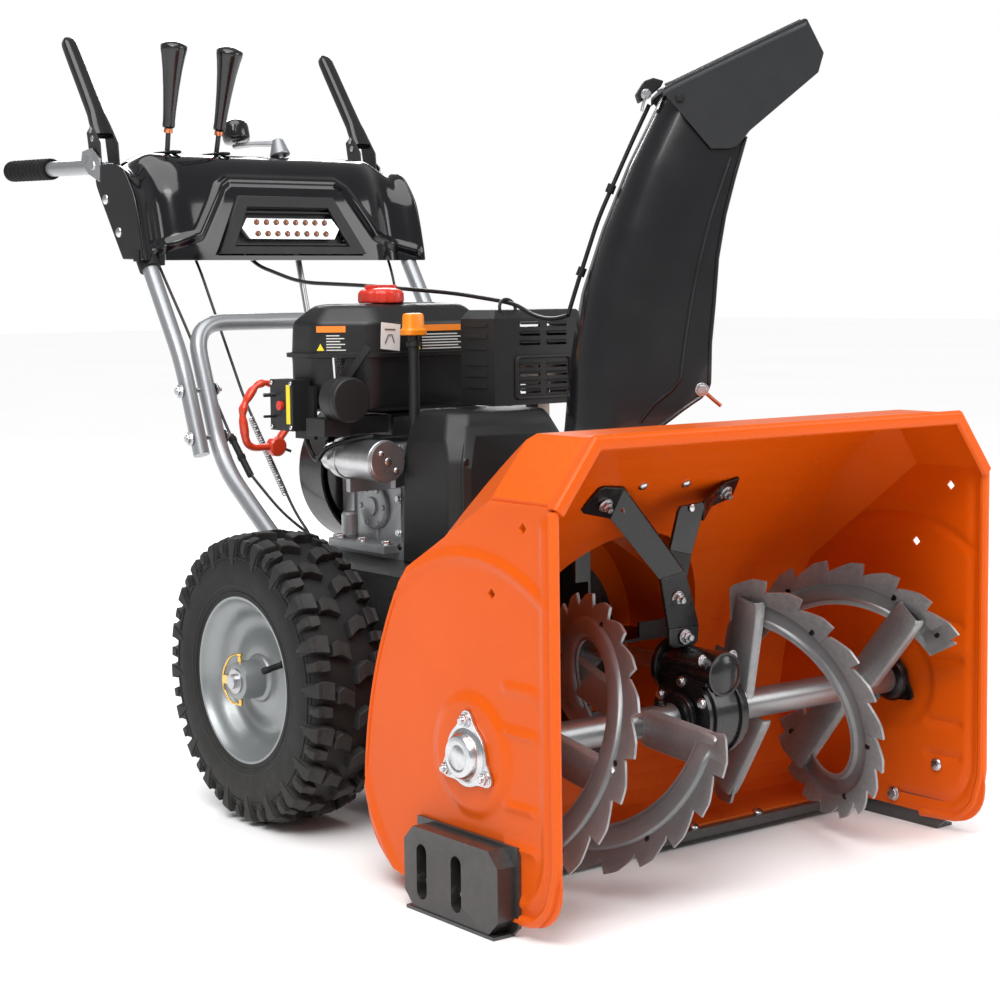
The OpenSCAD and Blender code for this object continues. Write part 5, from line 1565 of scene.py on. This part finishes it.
def build_levers():
    profile = [(0, 0), (6, 0), (9.5, 1.5), (10, 5), (9.6, 12), (10.4, 30), (12.6, 62), (15.6, 92), (18.6,
            112),
               (20.6, 122), (21, 127), (20, 131), (15, 134), (8, 136), (0, 136.5)]
    for x, lean, name in LEVERS:
        # the lever is bent forwards above its slot
        bend_at = Matrix.Translation(Vector((x, LEVER_Y, 952))) @ Matrix.Rotation(math.radians(lean), 4, "X")
        grip = moved(lathe(profile, (0, 0, 42), (0, 0, 1), 40), bend_at)
        piece(name + "_knob", grip, "grip_black", name, smooth=60)
        top = bend_at @ Vector((0, 0, 46))
        rod_shape = tube([(x, LEVER_Y, 889), (x, LEVER_Y, 944), (x, LEVER_Y - 1.4, 952), tuple(top)], 4.0, 16)
        piece(name + "_rod", rod_shape, "black_paint", name, [name])
        collar = moved(lathe([(4.0, 0), (6.6, 0), (7, 2), (6.6, 7), (4.0, 7)], (0, 0, 35), (0, 0, 1),
                28), bend_at)
        piece(name + "_collar", collar, "copper", name)
        hub = lathe([(4.2, 0), (9, 0), (9, 18), (4.2, 18)], (x - 9, LEVER_Y, 880), (1, 0, 0), 32)
        piece(name + "_hub", hub, "steel", name)
    # steering crank of the chute
    tilt = Matrix.Translation(Vector((48, 508, 958))) @ Matrix.Rotation(math.radians(-16), 4, "X")
    turn = tilt @ Matrix.Rotation(math.radians(128), 4, "Z")
    boss = moved(lathe([(5.2, -2), (16, -2), (17, 0), (15, 6), (10, 22), (8, 26), (0, 27)], (0, 0, 0),
            (0, 0, 1),
                       36), tilt)
    rod_shape = moved(tube([(0, 0, 10), (0, 0, -330)], 5, 18), tilt)
    arm = []
    for t, z, w, h in ((-8, 18, 8, 3.5), (0, 20, 9.5, 4), (20, 24, 8.5, 3.6), (45, 30, 7.5, 3.4), (68,
            33, 8, 3.4),
                       (78, 33, 6, 3)):
        arm.append([Vector((t, -w, z - h)), Vector((t, w, z - h)), Vector((t, w * 0.7, z + h)),
                    Vector((t, -w * 0.7, z + h))])
    piece("crank_arm", join(boss, moved(loft(arm), turn)), "handle_grey", "crank_handle",
          ["crank_handle"], bevel=1.6, smooth=30)
    piece("crank_rod", rod_shape, "steel", "crank_handle")
    knob = lathe([(0, 0), (15, 0), (21, 2), (22.5, 7), (22.5, 24), (21, 31), (15, 36), (7, 38), (0, 38.5)],
                 (70, 0, 39), (0, 0, 1), 40)
    post = lathe([(0, 0), (4, 0), (4, 12), (0, 12)], (70, 0, 30), (0, 0, 1), 16)
    piece("crank_knob", moved(knob, turn), "grip_black", "crank_handle", smooth=60)
    piece("crank_post", moved(post, turn), "zinc", "crank_handle")
    # clutch levers: rounded bars with a forked foot
    for s, name in ((1, "clutch_lever_left"), (-1, "clutch_lever_right")):
        pivot = Vector((s * CLUTCH_PIVOT[0], *CLUTCH_PIVOT[1:]))
        lift = Matrix.Translation(pivot) @ Matrix.Rotation(math.radians(CLUTCH_LIFT), 4, "X")
        rings = []
        for y, w, low, high in ((40, 17, 18.5, 32.5), (58, 17, 18, 34), (72, 15.5, 17.5, 35), (84, 13.5,
                17, 35.5),
                                (130, 12.6, 16, 35.5), (200, 12.2, 16, 35), (226, 12, 16.5, 34.5),
                                (234, 10.5, 17, 33.5), (239, 7, 20, 31)):
            mid, half = (low + high) / 2, (high - low) / 2
            rings.append(soft_rectangle(28, w, half, 0.6, lambda a, b, y=y, mid=mid: Vector((a, y, mid + b))))
        bar = moved(loft(rings), lift)
        piece(name + "_bar", bar, "grip_black", name, [name], smooth=50)
        cheeks = []
        for t in (-1, 1):
            cheeks.append(prism([(-14, -8), (-8, -14), (10, -14), (60, 8), (60, 30), (20, 32), (-14, 12)],
                                (t * 14, 0, 0), (0, 1, 0), (0, 0, 1), t * 3))
        piece(name + "_cheeks", moved(join(*cheeks), lift), "cover_black", name, bevel=0.8)
        rivets = [hex_head((t * 17, y, z), (t, 0, 0), 9, 1.4) for t in (-1, 1) for y, z in ((40, 18),
                (54, 22))]
        piece(name + "_rivets", moved(join(*rivets), lift), "zinc", name, bevel=0.2)
    # bracket plates between the console and the handle tubes
    plates = []
    for s in (-1, 1):
        plates.append(prism([(536, 908), (574, 922), (596, 944), (592, 958), (560, 962), (534, 944)],
                            (s * 268, 0, 0), (0, 1, 0), (0, 0, 1), -s * 3))
    piece("lever_brackets", join(*plates), "zinc", bevel=0.5)


build_console()
build_bezel()
build_levers()


# ---------------------------------------------------------------- cables

CABLE_AUGER = [(-220, 530, 900), (-220, 442, 780), (-206, 372, 668), (-190, 318, 560), (-188, 252, 475),
               (-184, 150, 410), (-178, 64, 376), (-178, 64, 320), (-150, -90, 300)]
CABLE_DRIVE = [(220, 530, 900), (220, 442, 780), (196, 372, 660), (190, 318, 560), (188, 240, 470),
               (184, 150, 410), (184, 64, 376), (184, 64, 330), (150, -20, 320)]
CABLE_SPEED = [(-158, 505, 860), (-148, 444, 780), (-130, 340, 567), (-126, 205, 400), (-122, 164, 366),
               (-122, 164, 310)]
CABLE_HOOD = [(-72, 500, 860), (-52, 442, 780), (-40, 316, 748), (-20, 160, 742), (10, -20, 730),
              (14, -150, 716), (16, -176, 706)]
CABLE_CRANK = [(48, 416.6, 639.2), (48, 405, 600), (64, 330, 500), (150, 290, 420), (168, 230, 384),
               (170, 100, 374), (178, -60, 380), (178, -180, 376), (167, -262, 362), (166.4, -269.8, 419)]
STARTER_LEAD = [(-136, -20, 530), (-154, 0, 527), (-178, 40, 512), (-176, 66, 490), (-176, 84, 506),
                (-178, 96, 534)]


def build_cables():
    thin = [tube(corner_curve(CABLE_AUGER, 40, 8), 2.2, 12), tube(corner_curve(CABLE_DRIVE, 40, 8), 2.2, 12),
            tube(corner_curve(CABLE_SPEED, 30, 8), 2.2, 12), tube(corner_curve(CABLE_HOOD, 40, 8), 3.0, 12)]
    piece("thin_cables", join(*thin), "cable_black", replaces=["control_cables"])
    piece("crank_cable", tube(corner_curve(CABLE_CRANK, 40, 8), 5.0, 16), "cable_black")
    piece("starter_lead", tube(corner_curve(STARTER_LEAD, 14, 8), 3.6, 14), "cable_black")
    springs = [coil([(-130, 322, 540), (-127, 232, 428)], 4.4, 0.9, 34),
               coil([(-204, 366, 659), (-191, 322, 567)], 4.2, 0.9, 26)]
    piece("cable_springs", join(*springs), "steel")
    adjusters = []
    for a, b in (((-189, 285, 518), (-187, 232, 460)), ((189, 285, 518), (187, 232, 460))):
        path = [Vector(a), Vector(b)]
        adjusters.append(tube(path, 5.2, 16))
        axis = (path[1] - path[0]).normalized()
        adjusters.append(hex_head(path[0] + axis * 6, axis, 12, 7))
        adjusters.append(hex_head(path[0] + axis * 40, axis, 12, 7))
    piece("cable_adjusters", join(*adjusters), "rubber_black", bevel=0.3)
    # ring that guides the deflector cable over the muffler guard
    loop = [(14 + 14 * math.cos(a * math.pi / 12), -139 + 3 * math.sin(a * math.pi / 12),
             708 + 13 * math.sin(a * math.pi / 12)) for a in range(25)]
    piece("cable_ring", tube(loop, 2.4, 10), "cable_black")
    # free stretch of the deflector cable from the ring to the back of the chute
    start = Vector((16, -176, 706))
    finish_at = in_chute(-76, 0, 700)
    middle = (start + finish_at) / 2 + Vector((0, 0, -16))
    route = [start * (1 - t) ** 2 + middle * 2 * t * (1 - t) + finish_at * t * t for t in
             [i / 24 for i in range(25)]]
    slack = piece("hood_cable_slack", tube(route, 3.0, 12), "cable_black", None)
    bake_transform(slack)
    route = [in_chute(*p) for p in ((-76, 0, 700), (-63, 0, 742), (-34, 0, 830), (11, 0, 930), (34, 0, 978))]
    piece("chute_cable_line", tube(corner_curve(route, 20, 5), 3.0, 12), "cable_black", "chute",
          ["chute_cable"])
    clips = []
    for s, z in ((-52, 752), (-12, 862)):
        clips.append(lathe([(3.2, 0), (6, 0), (6, 12), (3.2, 12)], in_chute(s - 8, 0, z), REACH * 0.4
                           + Vector((0, 0, 1)), 20))
    piece("chute_cable_clips", join(*clips), "rubber_black", "chute", bevel=0.4)


build_cables()


# ---------------------------------------------------------------- remaining CAD nodes

def dress_rest():
    for node, material, bevel in (("hex_shaft", "steel", 0.3), ("friction_wheel", "rubber_black", 0.6),
                                  ("crankshaft", "steel", 0.5), ("friction_disc", "steel", 0.5),
                                  ("auger_idler", "zinc", 0.4), ("drive_idler", "zinc", 0.4)):
        dress(node, material, bevel)


dress_rest()


# ---------------------------------------------------------------- studio

def build_stage():
    floor_mesh = bpy.data.meshes.new("floor")
    floor_mesh.from_pydata([(-30, -30, 0), (30, -30, 0), (30, 30, 0), (-30, 30, 0)], [], [(0, 1, 2, 3)])
    floor = bpy.data.objects.new("floor", floor_mesh)
    bpy.context.collection.objects.link(floor)
    mat = surface("floor_pale", (0.93, 0.93, 0.93), rough=0.7, tint=0.01, tint_scale=0.5, bump=0)
    floor.data.materials.append(mat)
    world = bpy.data.worlds.new("studio")
    bpy.context.scene.world = world
    world.use_nodes = True
    background = world.node_tree.nodes["Background"]
    background.inputs["Color"].default_value = (1.0, 1.0, 1.0, 1)
    background.inputs["Strength"].default_value = 0.34
    # the backdrop itself stays white
    nodes, links = world.node_tree.nodes, world.node_tree.links
    backdrop = nodes.new("ShaderNodeBackground")
    backdrop.inputs["Color"].default_value = (1.0, 1.0, 1.0, 1)
    backdrop.inputs["Strength"].default_value = 1.0
    rays, mix = nodes.new("ShaderNodeLightPath"), nodes.new("ShaderNodeMixShader")
    links.new(rays.outputs["Is Camera Ray"], mix.inputs["Fac"])
    links.new(background.outputs[0], mix.inputs[1])
    links.new(backdrop.outputs[0], mix.inputs[2])
    links.new(mix.outputs[0], nodes["World Output"].inputs["Surface"])
    sun = bpy.data.lights.new("sun", "SUN")
    sun.energy = 2.6
    sun.angle = math.radians(60)
    sun_obj = bpy.data.objects.new("sun", sun)
    bpy.context.collection.objects.link(sun_obj)
    sun_obj.rotation_euler = Vector((0.25, 0.3, -1)).to_track_quat("-Z", "Y").to_euler()

    def lamp(name, where, aim, size, power):
        data = bpy.data.lights.new(name, "AREA")
        data.shape = "RECTANGLE"
        data.size, data.size_y = size
        data.energy = power
        obj = bpy.data.objects.new(name, data)
        bpy.context.collection.objects.link(obj)
        obj.location = where
        obj.rotation_euler = (Vector(aim) - Vector(where)).to_track_quat("-Z", "Y").to_euler()
    lamp("key", (-2.6, -2.2, 3.6), (0, -0.1, 0.5), (2.4, 1.6), 80)
    lamp("fill", (2.8, -3.0, 2.2), (0, -0.3, 0.5), (2.0, 2.0), 45)
    lamp("rim", (1.6, 3.0, 2.6), (0, 0, 0.7), (2.4, 1.2), 80)
    scene = bpy.context.scene
    scene.view_settings.view_transform = "Standard"
    scene.view_settings.look = "None"
    scene.view_settings.exposure = 0.0


build_stage()
